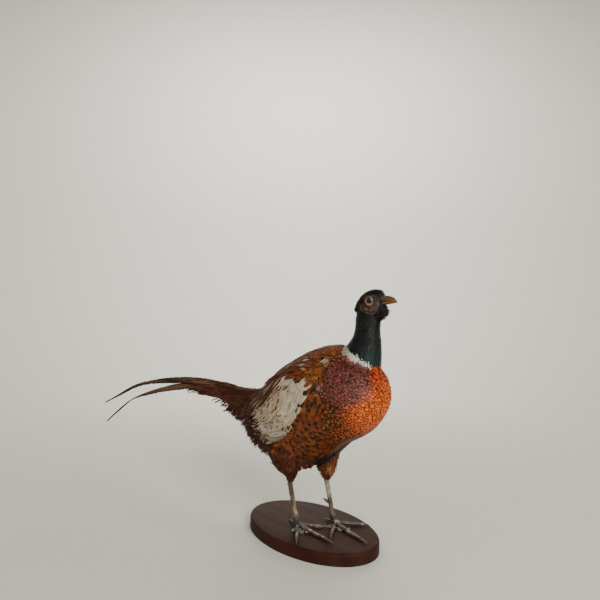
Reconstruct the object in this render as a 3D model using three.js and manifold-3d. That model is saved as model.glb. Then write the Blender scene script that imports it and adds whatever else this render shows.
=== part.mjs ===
// A cock pheasant mounted standing on an oval wooden plinth, life-size.
// Units are millimetres. The origin is the middle of the plinth's underside, +X is the way the bird
// faces, +Y is its left and +Z is up.
import * as THREE from "three";
import { mergeVertices } from "three/addons/utils/BufferGeometryUtils.js";
import Module from "manifold-3d";

// ---------------------------------------------------------------- driving dimensions
const PLINTH = { length: 260, width: 172, height: 19, edgeRadius: 4 };
const GAP = 0.3; // air left between two pieces that touch
const TAIL_BEND = -0.15; // how far the tail swings to the bird's right, per millimetre of length
const EYE_RADIUS = 5;
const FEATHER_THICKNESS = 1.5; // of one large tail feather
const TOE_RADIUS = 3.4;

const COLOUR = {
  wood: 0x5a3226,
  breast: 0xa8431a,
  neck: 0x14202a,
  head: 0x1a1f22,
  face: 0x6b4630,
  bill: 0xb08a4c,
  eye: 0x3a2110,
  wing: 0xa89c86,
  flight: 0xb8a98c,
  tail: 0x5c3420,
  thigh: 0x7a4526,
  shank: 0xa38f6a,
  claw: 0x4a3d2e,
};

// ---------------------------------------------------------------- solids
const manifold = await Module();
manifold.setup();

// A section's width runs across the sweep: leftward when the sweep runs forward or up, and rightward
// when it runs back, so that a station's up is always the bird's upper side.
const LEFTWARD = new THREE.Vector3(0, 1, 0);
const RIGHTWARD = new THREE.Vector3(0, -1, 0);

// A smooth value along evenly numbered stations.
function along(values) {
  return new THREE.CatmullRomCurve3(values, false, "catmullrom", 0.5);
}

// A closed body swept along a bent line. Each station holds a centre, a half width, and the half
// heights on the upper (dorsal) and lower side. A dome rounds an end; without one it is flat.
// across may turn along the sweep. grow makes the same body larger all round, to cut clearance
// from a neighbour.
function sweep(stations, options = {}) {
  const { rings = 16, sides = 20, across = LEFTWARD, startDome = 0, endDome = 0 } = options;
  const { grow = 0, capRings = 2 } = options;
  const line = along(stations.map((s) => new THREE.Vector3(...s.at)));
  const size = along(stations.map((s) => new THREE.Vector3(s.wide, s.up, s.down)));
  const frames = [];
  const frameAt = (t, shrink, push) => {
    const tangent = line.getTangent(t).normalize();
    const wanted = typeof across === "function" ? across(t) : across;
    const side = wanted.clone().addScaledVector(tangent, -wanted.dot(tangent)).normalize();
    const half = size.getPoint(t).addScalar(grow).multiplyScalar(shrink);
    const centre = line.getPoint(t).addScaledVector(tangent, push);
    frames.push({ centre, side, up: tangent.clone().cross(side), half });
  };
  for (let i = 1; startDome && i <= capRings; i++) {
    const turn = (i / (capRings + 1)) * (Math.PI / 2);
    frameAt(0, Math.sin(turn), -(startDome + grow) * Math.cos(turn));
  }
  for (let i = 0; i <= rings; i++) {
    const flatEnd = (i === 0 && !startDome) || (i === rings && !endDome);
    frameAt(i / rings, 1, flatEnd ? (i === 0 ? -grow : grow) : 0);
  }
  for (let i = capRings; endDome && i >= 1; i--) {
    const turn = (i / (capRings + 1)) * (Math.PI / 2);
    frameAt(1, Math.sin(turn), (endDome + grow) * Math.cos(turn));
  }
  const positions = [];
  const triangles = [];
  for (const { centre, side, up, half } of frames) {
    for (let j = 0; j < sides; j++) {
      const angle = (j / sides) * 2 * Math.PI;
      const [c, s] = [Math.cos(angle), Math.sin(angle)];
      const height = s > 0 ? half.y : half.z;
      const p = centre.clone();
      p.addScaledVector(side, half.x * c).addScaledVector(up, height * s);
      positions.push(...p.toArray());
    }
  }
  const pole = (t, push) => {
    const p = line.getPoint(t).addScaledVector(line.getTangent(t).normalize(), push);
    positions.push(...p.toArray());
    return positions.length / 3 - 1;
  };
  const first = pole(0, -(startDome + grow));
  const last = pole(1, endDome + grow);
  const ring = (i) => i * sides;
  for (let j = 0; j < sides; j++) {
    const k = (j + 1) % sides;
    triangles.push(first, ring(0) + k, ring(0) + j);
    for (let i = 0; i + 1 < frames.length; i++) {
      triangles.push(ring(i) + j, ring(i) + k, ring(i + 1) + k);
      triangles.push(ring(i) + j, ring(i + 1) + k, ring(i + 1) + j);
    }
    const end = ring(frames.length - 1);
    triangles.push(last, end + j, end + k);
  }
  const geometry = new THREE.BufferGeometry();
  geometry.setAttribute("position", new THREE.Float32BufferAttribute(positions, 3));
  return geometry.setIndex(triangles);
}

function toSolid(geometry) {
  const bare = geometry.clone().deleteAttribute("normal").deleteAttribute("uv");
  const merged = mergeVertices(bare, 1e-4);
  return new manifold.Manifold(
    new manifold.Mesh({
      numProp: 3,
      vertProperties: merged.attributes.position.array,
      triVerts: new Uint32Array(merged.index.array),
    }),
  );
}

const SLIVER = 0.12; // detail smaller than this is dropped after a cut

// The largest single body of a solid, as a mesh.
function toGeometry(solid) {
  const bodies = solid.simplify(SLIVER).decompose();
  const mesh = bodies.sort((a, b) => b.volume() - a.volume())[0].getMesh();
  const positions = [];
  for (let i = 0; i < mesh.numVert; i++) {
    positions.push(...mesh.vertProperties.subarray(i * mesh.numProp, i * mesh.numProp + 3));
  }
  const geometry = new THREE.BufferGeometry();
  geometry.setAttribute("position", new THREE.Float32BufferAttribute(positions, 3));
  return geometry.setIndex(Array.from(mesh.triVerts));
}

// What is left of a piece when its neighbours are cut away.
function cutBy(geometry, neighbours) {
  return toGeometry(neighbours.reduce((left, other) => left.subtract(toSolid(other)), toSolid(geometry)));
}

function joined(geometries) {
  return toGeometry(geometries.map(toSolid).reduce((a, b) => a.add(b)));
}

// The part of one body that lies inside another.
function within(body, outline) {
  return toGeometry(toSolid(body).intersect(toSolid(outline)));
}

const bird = new THREE.Group();

function addPiece(name, geometry, colour, roughness = 0.8) {
  const material = new THREE.MeshStandardMaterial({ color: colour, roughness, metalness: 0 });
  const mesh = new THREE.Mesh(geometry, material);
  mesh.name = name;
  bird.add(mesh);
}

// The bird's two sides: -1 is its right, +1 its left.
const SIDES = [
  { side: "right", sign: -1 },
  { side: "left", sign: 1 },
];

// ---------------------------------------------------------------- plinth
function plinth() {
  const { length, width, height, edgeRadius } = PLINTH;
  const radius = length / 2;
  const outline = new THREE.Path();
  outline.moveTo(0, 0);
  outline.lineTo(radius, 0);
  outline.lineTo(radius, height - edgeRadius);
  outline.absarc(radius - edgeRadius, height - edgeRadius, edgeRadius, 0, Math.PI / 2, false);
  outline.lineTo(0, height);
  const turned = new THREE.LatheGeometry(outline.getPoints(2), 44);
  turned.rotateX(Math.PI / 2);
  return turned.scale(1, width / length, 1);
}

addPiece("plinth", plinth(), COLOUR.wood, 0.45);

// ---------------------------------------------------------------- trunk
const trunkStations = [
  { at: [-172, 0, 219], wide: 17, up: 15, down: 24 },
  { at: [-145, 0, 208], wide: 34, up: 33, down: 56 },
  { at: [-105, 0, 200], wide: 50, up: 60, down: 76 },
  { at: [-60, 0, 204], wide: 61, up: 83, down: 90 },
  { at: [-12, 0, 220], wide: 68, up: 91, down: 99 },
  { at: [36, 0, 239], wide: 71, up: 95, down: 91 },
  { at: [80, 0, 256], wide: 67, up: 88, down: 77 },
  { at: [113, 0, 265], wide: 55, up: 62, down: 59 },
  { at: [135, 0, 270], wide: 35, up: 37, down: 38 },
];
const trunk = (grow = 0) =>
  sweep(trunkStations, { rings: 13, sides: 20, startDome: 6, endDome: 9, grow });

// ---------------------------------------------------------------- head, neck and face
const headStations = [
  { at: [100, 0, 407], wide: 13.5, up: 11, down: 15 },
  { at: [110, 0, 410], wide: 17, up: 17.6, down: 20 },
  { at: [121, 0, 411.5], wide: 17.2, up: 20.8, down: 21 },
  { at: [133, 0, 412], wide: 13.5, up: 20.4, down: 19 },
  { at: [141, 0, 412], wide: 9.8, up: 15, down: 15 },
];
// The feathers of the chin hang as a short beard under the bill.
const chinStations = [
  { at: [118, 0, 394], wide: 12, up: 12, down: 16 },
  { at: [134, 0, 394], wide: 11, up: 13, down: 13.5 },
  { at: [147, 0, 397], wide: 8, up: 10, down: 8.5 },
];
const skull = (grow) => sweep(headStations, { rings: 7, sides: 14, startDome: 8, endDome: 3, grow });
const chin = (grow) => sweep(chinStations, { rings: 4, sides: 10, endDome: 4.5, grow });
const head = (grow = 0) => joined([skull(grow), chin(grow)]);

const neckStations = [
  { at: [82, 0, 298], wide: 40, up: 31, down: 55 },
  { at: [98, 0, 323], wide: 33, up: 27.5, down: 41 },
  { at: [108, 0, 347], wide: 24, up: 22, down: 28 },
  { at: [111, 0, 369], wide: 19.5, up: 20.5, down: 21.5 },
  { at: [111, 0, 388], wide: 18.5, up: 20.5, down: 24 },
  { at: [111, 0, 401], wide: 14, up: 14, down: 22 },
];
const neck = () => sweep(neckStations, { rings: 7, sides: 16 });

const billStations = {
  upper: [
    { at: [140, 0, 415.5], wide: 7.4, up: 6.4, down: 4 },
    { at: [149, 0, 415.7], wide: 6.2, up: 5.6, down: 4.2 },
    { at: [158, 0, 414.2], wide: 4.2, up: 4.4, down: 3.6 },
    { at: [165.6, 0, 410.2], wide: 1.3, up: 1.6, down: 1.6 },
  ],
  lower: [
    { at: [140, 0, 409], wide: 6.4, up: 3, down: 3.2 },
    { at: [150, 0, 409.4], wide: 4.8, up: 2.8, down: 2.8 },
    { at: [159.5, 0, 409.4], wide: 2.2, up: 1.6, down: 1.6 },
  ],
};
const bill = (jaw, grow = 0) => sweep(billStations[jaw], { rings: 6, sides: 10, endDome: 1, capRings: 1, grow });

// The eye is a glass ball set into the side of the head.
const eyeCentre = (sign) => new THREE.Vector3(123, sign * 12.2, 412.5);

function eyeball(sign, grow = 0) {
  const ball = new THREE.SphereGeometry(EYE_RADIUS + grow, 11, 7);
  return ball.translate(...eyeCentre(sign).toArray());
}

// Bare skin of the cheek, below and round the eye.
const wattle = (sign, grow = 0) =>
  sweep(
    [
      { at: [109, sign * 13.8, 400], wide: 4, up: 4, down: 4 },
      { at: [118, sign * 14.6, 398.5], wide: 4.8, up: 8, down: 8 },
      { at: [128, sign * 12.4, 400.5], wide: 5, up: 9, down: 8.5 },
      { at: [136, sign * 9, 407], wide: 4.2, up: 6.5, down: 6 },
    ],
    { rings: 4, sides: 8, startDome: 3, endDome: 3, capRings: 1, grow },
  );

// The short erectile feathers behind the crown.
const earTuft = (sign) =>
  sweep(
    [
      { at: [104, sign * 9, 412], wide: 4.5, up: 5.5, down: 5.5 },
      { at: [96, sign * 10, 403], wide: 3.8, up: 4.4, down: 4.4 },
      { at: [91, sign * 10, 394], wide: 1.4, up: 1.6, down: 1.6 },
    ],
    { rings: 4, sides: 7, endDome: 1, capRings: 1, across: RIGHTWARD },
  );

// ---------------------------------------------------------------- wings
// Each folded wing is the part of a slightly larger trunk that lies inside a tapering outline.
const WING_DEPTH = 8;
const FLIGHT_DEPTH = 3.5;

const wingOutline = (sign, grow) =>
  sweep(
    [
      { at: [-142, sign * 30, 194], wide: 14, up: 16, down: 18 },
      { at: [-108, sign * 42, 203], wide: 22, up: 34, down: 36 },
      { at: [-58, sign * 50, 223], wide: 30, up: 51, down: 52 },
      { at: [-6, sign * 54, 246], wide: 34, up: 53, down: 56 },
      { at: [36, sign * 54, 266], wide: 34, up: 44, down: 40 },
      { at: [56, sign * 52, 276], wide: 30, up: 26, down: 22 },
    ],
    { rings: 7, sides: 12, startDome: 16, endDome: 10, capRings: 1, grow },
  );

const wing = (sign, grow = 0) => within(trunk(WING_DEPTH + grow), wingOutline(sign, grow));

// The tips of the long flight feathers hang below the wing.
const flightOutline = (sign) =>
  sweep(
    [
      { at: [-116, sign * 32, 150], wide: 16, up: 8, down: 4 },
      { at: [-84, sign * 46, 164], wide: 22, up: 20, down: 14 },
      { at: [-44, sign * 56, 184], wide: 26, up: 26, down: 27 },
      { at: [-4, sign * 58, 202], wide: 26, up: 18, down: 22 },
    ],
    { rings: 6, sides: 12, startDome: 6, endDome: 8, capRings: 1 },
  );

const flight = (sign) => within(trunk(FLIGHT_DEPTH), flightOutline(sign));

// ---------------------------------------------------------------- tail
const swing = (x) => TAIL_BEND * Math.max(0, -150 - x);

const covertStations = [
  { at: [-138, 0, 208], wide: 30, up: 36, down: 50 },
  { at: [-173, swing(-173), 212], wide: 24, up: 27, down: 42 },
  { at: [-205, swing(-205), 219], wide: 18, up: 21.5, down: 33 },
  { at: [-235, swing(-235), 227], wide: 12.5, up: 16.5, down: 23 },
  { at: [-264, swing(-264), 234], wide: 7, up: 11, down: 15 },
];
const tailCoverts = (grow = 0) =>
  sweep(covertStations, { rings: 7, sides: 12, endDome: 4, capRings: 1, across: RIGHTWARD, grow });

// The long feathers lie in layers like tiles on a steep roof, the longest on top. Towards their tips
// the roof opens flat, and the deeper layers hang lower than the top one.
const ridge = along([
  new THREE.Vector3(-205, swing(-205), 242),
  new THREE.Vector3(-260, swing(-260), 247),
  new THREE.Vector3(-320, swing(-320), 248.5),
  new THREE.Vector3(-390, swing(-390), 243),
  new THREE.Vector3(-460, swing(-460), 231),
  new THREE.Vector3(-524, swing(-524), 216.5),
  new THREE.Vector3(-590, swing(-590), 185),
  new THREE.Vector3(-655, swing(-655), 153),
]);
const ROOF_ANGLE = { root: 56, tip: 14 };
const DEEP_LAYER_DROOP = 60;
const LAYER_STEP = FEATHER_THICKNESS + 0.7;
const TILE_STEP = 3.4;
const RIDGE_CLEARANCE = { top: 0.5, deeper: 1.6 }; // between a feather's inner edge and the ridge
const TIP_SHARPNESS = 0.985; // how much of its width a feather loses by its tip, squared
const RIDGE_RINGS = 14; // on the whole ridge: fewer, and a thin blade's two faces would cross as it twists

// length is a share of the ridge.
const TAIL_FEATHERS = [
  { name: "upper_long", sign: 1, layer: 0, length: 1, width: 11 },
  { name: "right_1", sign: -1, layer: 0, length: 0.55, width: 11 },
  { name: "lower_long", sign: -1, layer: 1, length: 0.945, width: 11 },
  { name: "left_1", sign: 1, layer: 1, length: 0.62, width: 11 },
  { name: "right_2", sign: -1, layer: 2, length: 0.44, width: 10 },
  { name: "left_2", sign: 1, layer: 2, length: 0.46, width: 10 },
  { name: "right_3", sign: -1, layer: 3, length: 0.35, width: 10.5 },
  { name: "left_3", sign: 1, layer: 3, length: 0.36, width: 10.5 },
  { name: "right_4", sign: -1, layer: 4, length: 0.28, width: 11 },
  { name: "left_4", sign: 1, layer: 4, length: 0.28, width: 11 },
];

function tailFeather({ sign, layer, length, width }) {
  const roofAt = (share) => {
    const opened = THREE.MathUtils.smoothstep(share * length, 0.4, 0.9);
    const angle = THREE.MathUtils.degToRad(THREE.MathUtils.lerp(ROOF_ANGLE.root, ROOF_ANGLE.tip, opened));
    return new THREE.Vector3(0, sign * Math.cos(angle), -Math.sin(angle));
  };
  const STATIONS = 9;
  const stations = [];
  for (let i = 0; i < STATIONS; i++) {
    const share = i / (STATIONS - 1);
    const down = roofAt(share);
    const inward = new THREE.Vector3(0, sign * down.z, -sign * down.y);
    const taper = Math.sqrt(1 - TIP_SHARPNESS * share ** 1.4);
    const centre = ridge.getPoint(share * length);
    const clearance = layer ? RIDGE_CLEARANCE.deeper + layer * TILE_STEP : RIDGE_CLEARANCE.top;
    centre.addScaledVector(down, width * taper + clearance);
    centre.addScaledVector(inward, layer * LAYER_STEP);
    if (layer) centre.z -= DEEP_LAYER_DROOP * (share * length) ** 2;
    const half = FEATHER_THICKNESS / 2;
    stations.push({ at: centre.toArray(), wide: width * taper, up: half, down: half });
  }
  const rings = Math.max(STATIONS - 1, Math.round(RIDGE_RINGS * length));
  return sweep(stations, { rings, sides: 4, across: roofAt });
}

// ---------------------------------------------------------------- legs and feet
const LEGS = {
  right: {
    ankle: [-27, -30, 91],
    pad: [-8, -29],
    thigh: { knee: [-38, -44, 162], calf: [-30, -38, 128], reach: 29 },
    toes: { inner: [26, 0], middle: [63, -33], outer: [28, -70], hind: [-31, -22] },
  },
  left: {
    ankle: [12, 25, 94],
    pad: [33, 23],
    thigh: { knee: [6, 36, 164], calf: [8, 31, 126], reach: 22 },
    toes: { inner: [57, -16], middle: [103, 7], outer: [71, 58], hind: [10, 28] },
  },
};
const TOE_FLOOR = PLINTH.height + GAP + TOE_RADIUS;
const PAD_HEIGHT = PLINTH.height + 8;

// The feathered thigh is widest at the calf; reach is half its length fore and aft there.
const thigh = ({ ankle, thigh: { knee, calf, reach } }, grow = 0) =>
  sweep(
    [
      { at: knee, wide: 23, up: reach + 6, down: reach + 6 },
      { at: calf, wide: 17, up: reach, down: reach },
      { at: [ankle[0] + 1, ankle[1], ankle[2] + 18], wide: 11, up: reach * 0.6, down: reach * 0.55 },
      { at: [ankle[0] + 1, ankle[1], ankle[2] + 1], wide: 5.2, up: 5.6, down: 5.4 },
    ],
    { rings: 6, sides: 12, grow },
  );

function shank({ ankle, pad }, grow = 0) {
  const top = new THREE.Vector3(...ankle);
  const foot = new THREE.Vector3(pad[0] - 2, pad[1], PAD_HEIGHT);
  const at = (t) => top.clone().lerp(foot, t).toArray();
  return sweep(
    [
      { at: at(0), wide: 4, up: 4.4, down: 4.4 },
      { at: at(0.2), wide: 3.1, up: 3.5, down: 3.9 },
      { at: at(0.6), wide: 2.9, up: 3.3, down: 3.7 },
      { at: at(0.9), wide: 3.8, up: 4.2, down: 4.4 },
      { at: at(1), wide: 4.6, up: 5, down: 5 },
    ],
    { rings: 5, sides: 8, grow },
  );
}

// A toe runs from the pad to its tip on the plinth, with a swelling at each joint.
function toe(start, tip, radius = TOE_RADIUS) {
  const from = new THREE.Vector3(...start);
  const to = new THREE.Vector3(...tip, TOE_FLOOR);
  const STATIONS = 6;
  const stations = [];
  for (let i = 0; i < STATIONS; i++) {
    const share = i / (STATIONS - 1);
    const centre = from.clone().lerp(to, share);
    centre.z = to.z + (from.z - to.z) * (1 - share) ** 3;
    const knuckle = 1 + (i % 2 ? -0.08 : 0.1);
    const half = radius * knuckle * (1 - 0.3 * share);
    centre.z += half - radius;
    stations.push({ at: centre.toArray(), wide: half, up: half, down: half });
  }
  const across = new THREE.Vector3(-(tip[1] - start[1]), tip[0] - start[0], 0).normalize();
  return sweep(stations, { rings: 5, sides: 6, across, endDome: 1.2, capRings: 1 });
}

const padCentre = ({ pad }) => [pad[0], pad[1], TOE_FLOOR + 2];

function foot(leg) {
  const centre = padCentre(leg);
  const pad = new THREE.SphereGeometry(1, 9, 6).scale(7, 6, 5).translate(...centre);
  const { inner, middle, outer, hind } = leg.toes;
  const heel = [centre[0] - 5, centre[1], centre[2] + 2];
  const toes = [inner, middle, outer].map((tip) => toe(centre, tip));
  const whole = joined([pad, ...toes, toe(heel, hind, TOE_RADIUS * 0.75)]);
  return cutBy(whole, [shank(leg, GAP)]);
}

// A claw curves down from the end of its toe to the wood.
const CLAW_LENGTH = { inner: 9, middle: 11, outer: 9, hind: 6 };

function claw(leg, which) {
  const [tipX, tipY] = leg.toes[which];
  const way = new THREE.Vector3(tipX - leg.pad[0], tipY - leg.pad[1], 0).normalize();
  const root = new THREE.Vector3(tipX, tipY, TOE_FLOOR - 0.6).addScaledVector(way, 1.4 + GAP);
  const size = CLAW_LENGTH[which];
  const at = (forward, drop) => root.clone().addScaledVector(way, size * forward).setZ(root.z - drop);
  const across = new THREE.Vector3(-way.y, way.x, 0);
  return sweep(
    [
      { at: at(0, 0).toArray(), wide: 1.5, up: 1.6, down: 1.3 },
      { at: at(0.5, 0.2).toArray(), wide: 1.1, up: 1.2, down: 1 },
      { at: at(1, 1.9).toArray(), wide: 0.45, up: 0.5, down: 0.45 },
    ],
    { rings: 3, sides: 5, across },
  );
}

// The spur stands out behind the shank, a little inwards.
function spur({ ankle, pad }, sign) {
  const share = 0.56;
  const x = ankle[0] + (pad[0] - 2 - ankle[0]) * share;
  const y = ankle[1] + (pad[1] - ankle[1]) * share;
  const z = ankle[2] + (PAD_HEIGHT - ankle[2]) * share;
  return sweep(
    [
      { at: [x, y, z], wide: 3, up: 3.2, down: 3.2 },
      { at: [x - 7, y - sign * 1.5, z + 0.5], wide: 2.2, up: 2.3, down: 2.3 },
      { at: [x - 13, y - sign * 3, z + 3], wide: 0.6, up: 0.6, down: 0.6 },
    ],
    { rings: 3, sides: 7, across: RIGHTWARD },
  );
}

// ---------------------------------------------------------------- assembly
const billPieces = [bill("upper", GAP), bill("lower", GAP)];
const facePieces = SIDES.flatMap(({ sign }) => [eyeball(sign, GAP), wattle(sign, GAP)]);

addPiece("trunk", trunk(), COLOUR.breast);
addPiece("neck", cutBy(neck(), [trunk(GAP), head(GAP), ...facePieces]), COLOUR.neck);
addPiece("head", cutBy(head(), [...billPieces, ...facePieces]), COLOUR.head);
addPiece("bill_upper", bill("upper"), COLOUR.bill, 0.4);
addPiece("bill_lower", cutBy(bill("lower"), [bill("upper", GAP)]), COLOUR.bill, 0.4);

for (const { side, sign } of SIDES) {
  const leg = LEGS[side];
  addPiece(`eye_${side}`, eyeball(sign), COLOUR.eye, 0.1);
  addPiece(`wattle_${side}`, cutBy(wattle(sign), [eyeball(sign, GAP), ...billPieces]), COLOUR.face);
  addPiece(`ear_tuft_${side}`, cutBy(earTuft(sign), [head(GAP), wattle(sign, GAP)]), COLOUR.head);
  addPiece(`wing_${side}`, cutBy(wing(sign), [trunk(GAP)]), COLOUR.wing);
  const aboveFlight = [trunk(GAP), wing(sign, GAP), thigh(leg, GAP)];
  addPiece(`flight_feathers_${side}`, cutBy(flight(sign), aboveFlight), COLOUR.flight);
  addPiece(`thigh_${side}`, cutBy(thigh(leg), [trunk(GAP)]), COLOUR.thigh);
  addPiece(`shank_${side}`, cutBy(shank(leg), [thigh(leg, GAP)]), COLOUR.shank, 0.5);
  addPiece(`foot_${side}`, foot(leg), COLOUR.shank, 0.5);
  addPiece(`spur_${side}`, cutBy(spur(leg, sign), [shank(leg, GAP)]), COLOUR.claw, 0.5);
  for (const which of Object.keys(CLAW_LENGTH)) {
    addPiece(`claw_${side}_${which}`, claw(leg, which), COLOUR.claw, 0.5);
  }
}

const besideTail = [trunk(GAP), ...SIDES.map(({ sign }) => wing(sign, GAP))];
addPiece("tail_coverts", cutBy(tailCoverts(), besideTail), COLOUR.tail);
for (const feather of TAIL_FEATHERS) {
  const blade = cutBy(tailFeather(feather), [tailCoverts(GAP), trunk(GAP)]);
  addPiece(`tail_feather_${feather.name}`, blade, COLOUR.tail);
}

export default bird;
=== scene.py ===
# %% [markdown]
# # A mounted cock pheasant on its oval plinth
# A mounted bird is a tanned skin with its feathers, stretched over a shaped form. Here the packed
# solids give the form and its true size, one skin is wrapped just inside them, and several thousand
# small vanes are laid over it, row over row, the way feathers lie. This first cell loads the solids.
# Nothing that follows moves or resizes them.

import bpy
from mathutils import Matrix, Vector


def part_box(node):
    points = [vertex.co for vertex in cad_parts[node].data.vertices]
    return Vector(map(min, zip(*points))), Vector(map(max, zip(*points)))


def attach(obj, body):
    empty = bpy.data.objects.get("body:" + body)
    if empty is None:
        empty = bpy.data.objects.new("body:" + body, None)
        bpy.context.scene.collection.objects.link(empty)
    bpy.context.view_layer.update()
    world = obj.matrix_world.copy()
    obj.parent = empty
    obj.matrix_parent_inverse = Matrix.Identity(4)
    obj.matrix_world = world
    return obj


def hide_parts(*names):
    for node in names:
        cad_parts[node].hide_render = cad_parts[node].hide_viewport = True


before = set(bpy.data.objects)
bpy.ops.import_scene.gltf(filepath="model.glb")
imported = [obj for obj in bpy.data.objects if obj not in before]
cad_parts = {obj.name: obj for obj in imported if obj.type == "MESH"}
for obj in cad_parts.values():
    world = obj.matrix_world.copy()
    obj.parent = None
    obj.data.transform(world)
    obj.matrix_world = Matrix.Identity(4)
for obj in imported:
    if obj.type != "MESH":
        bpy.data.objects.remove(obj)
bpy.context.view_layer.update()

# %% [markdown]
# The sizes below are written in millimetres, as a taxidermist would measure them, and MM turns them
# into Blender's metres. Everything random comes from one seeded generator, so that each run of the
# script lays exactly the same feathers. x runs forward from the tail to the bill, y to the bird's
# left, and z up.

# %% Units and small helpers
import math
from itertools import product

import bmesh
import bpy
import numpy as np
from mathutils import Matrix, Vector
from mathutils.bvhtree import BVHTree

MM = 0.001
chance = np.random.default_rng(1758)
SIDES = {"right": -1, "left": 1}


def smoothstep(low, high, value):
    """0 below low, 1 above high, and a smooth climb between them."""
    t = np.clip((value - low) / (high - low), 0, 1)
    return t * t * (3 - 2 * t)


def unit(vectors):
    """Vectors of length one."""
    return vectors / np.maximum(np.linalg.norm(vectors, axis=-1, keepdims=True), 1e-12)


def blend(a, b, share):
    """a where share is 0 and b where it is 1."""
    share = np.asarray(share)[..., None]
    return a * (1 - share) + b * share


def along_surface(way, up):
    """Directions made parallel to a surface whose normals are up."""
    return unit(way - up * np.sum(way * up, axis=1, keepdims=True))


# %% [markdown]
# ## Camera
# The bird stands at the height of the eye and is seen from the front of its right side. The camera
# is placed by its position and by the directions to its right and up, and these, with the direction
# behind it, are the columns of its matrix. A 27.6 mm lens on a 36 mm film is a mild wide angle.

# %% Camera
CAMERA_PLACE = Vector((537.7, -640.1, 374.2)) * MM
CAMERA_RIGHT = Vector((0.7426, 0.6693, 0.0244))
CAMERA_UP = Vector((0.0151, -0.0531, 0.9985))

lens = bpy.data.cameras.new("camera")
lens.lens = 27.6
lens.sensor_width = 36
camera = bpy.data.objects.new("camera", lens)
turn = Matrix((CAMERA_RIGHT, CAMERA_UP, CAMERA_RIGHT.cross(CAMERA_UP))).transposed()
camera.matrix_world = Matrix.Translation(CAMERA_PLACE) @ turn.to_4x4()
bpy.context.scene.collection.objects.link(camera)
bpy.context.scene.camera = camera
print("camera:", round(CAMERA_PLACE.length, 2), "m from the middle of the plinth")

# %% [markdown]
# ## Node materials in few words
# Every finish here is a small node tree. Writing one by hand takes a line for each node and one for
# each link, so this helper makes a node, sets or links its sockets, and gives back its output. A
# plain number goes onto the socket itself, and an output is linked to it.

# %% A helper that builds materials
class Finish:
    """One procedural material, ending in a Principled shader."""

    def __init__(self, name, **sockets):
        self.material = bpy.data.materials.new(name)
        self.material.use_nodes = True
        self.tree = self.material.node_tree
        self.shader = self.tree.nodes["Principled BSDF"]
        self.set(self.shader, sockets)

    def set(self, node, sockets):
        """Fills sockets by name or number, with a value or with another node's output."""
        for key, value in sockets.items():
            socket = node.inputs[key.replace("_", " ") if isinstance(key, str) else key]
            if isinstance(value, bpy.types.NodeSocket):
                self.tree.links.new(value, socket)
            else:
                socket.default_value = value

    def node(self, kind, output=0, sockets=None, **settings):
        """Adds a node and returns one of its outputs."""
        made = self.tree.nodes.new("ShaderNode" + kind)
        for key, value in settings.items():
            setattr(made, key, value)
        self.set(made, sockets or {})
        return made.outputs[output]

    def math(self, operation, *values):
        return self.node("Math", sockets=dict(enumerate(values)), operation=operation)

    def plus(self, a, b):
        return self.math("ADD", a, b)

    def minus(self, a, b):
        return self.math("SUBTRACT", a, b)

    def times(self, a, b):
        return self.math("MULTIPLY", a, b)

    def step(self, value, low, high, to_low=0.0, to_high=1.0):
        """A smooth climb from to_low to to_high while value goes from low to high."""
        sockets = {"Value": value, 1: low, 2: high, 3: to_low, 4: to_high}
        return self.node("MapRange", sockets=sockets, interpolation_type="SMOOTHSTEP")

    def mix(self, share, a, b, how="MIX"):
        """Mixes two colours, each of them an output or red, green and blue."""
        a, b = ((*c, 1) if isinstance(c, tuple) else c for c in (a, b))
        return self.node("Mix", output=2, sockets={0: share, 6: a, 7: b}, data_type="RGBA", blend_type=how)

    def place(self):
        return self.node("TexCoord", output="Object")

    def axis(self, vector, number):
        """One of the three numbers of a vector."""
        return self.node("SeparateXYZ", output=number, sockets={0: vector})

    def combined(self, x, y, z=0):
        return self.node("CombineXYZ", sockets={0: x, 1: y, 2: z})

    def stretched(self, vector, scale):
        return self.node("Mapping", sockets={"Vector": vector, "Scale": scale})

    def noise(self, scale, detail=3.0, vector=None, stretch=(1, 1, 1)):
        """Cloudy noise, on the object's own coordinates unless another vector is given."""
        place = self.stretched(vector or self.place(), stretch)
        return self.node("TexNoise", sockets={"Vector": place, "Scale": scale, "Detail": detail})

    def attribute(self, name, output="Fac"):
        """A number or a colour that every point of the mesh carries."""
        return self.node("Attribute", output=output, attribute_name=name)

    def bump(self, height, strength=0.3, distance=0.0005):
        sockets = {"Height": height, "Strength": strength, "Distance": distance}
        self.set(self.shader, {"Normal": self.node("Bump", sockets=sockets)})

    def paint(self, colour):
        self.set(self.shader, {"Base Color": colour})


# %% [markdown]
# Every piece ends in the same few steps: its bmesh becomes an object, it gets a finish and the one
# body, root, that the whole bird is, and the solids that it stands for are hidden.

# %% From a bmesh to a finished piece
def add_object(name, mesh):
    """Puts a mesh into the scene, shaded smooth."""
    made = bpy.data.objects.new(name, mesh)
    bpy.context.scene.collection.objects.link(made)
    mesh.shade_smooth()
    return made


def object_of(name, bm):
    """Turns a bmesh into an object."""
    mesh = bpy.data.meshes.new(name)
    bm.to_mesh(mesh)
    bm.free()
    return add_object(name, mesh)


def dress(piece, finish, slot, *nodes):
    """Gives a piece its finish and its body, and hides the solids that it replaces; slot is not used."""
    piece.data.materials.append(finish.material)
    if nodes:
        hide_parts(*nodes)
    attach(piece, "root")
    print(piece.name, len(piece.data.polygons), "faces")


# %% [markdown]
# ## Floor and light
# The bird stands on pale paper that curves up into a round wall, so that no horizon shows from any
# side. The paper is a wide cylinder without its lid, bevelled round at the bottom and turned inside
# out, so that its faces look at the bird.

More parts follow.
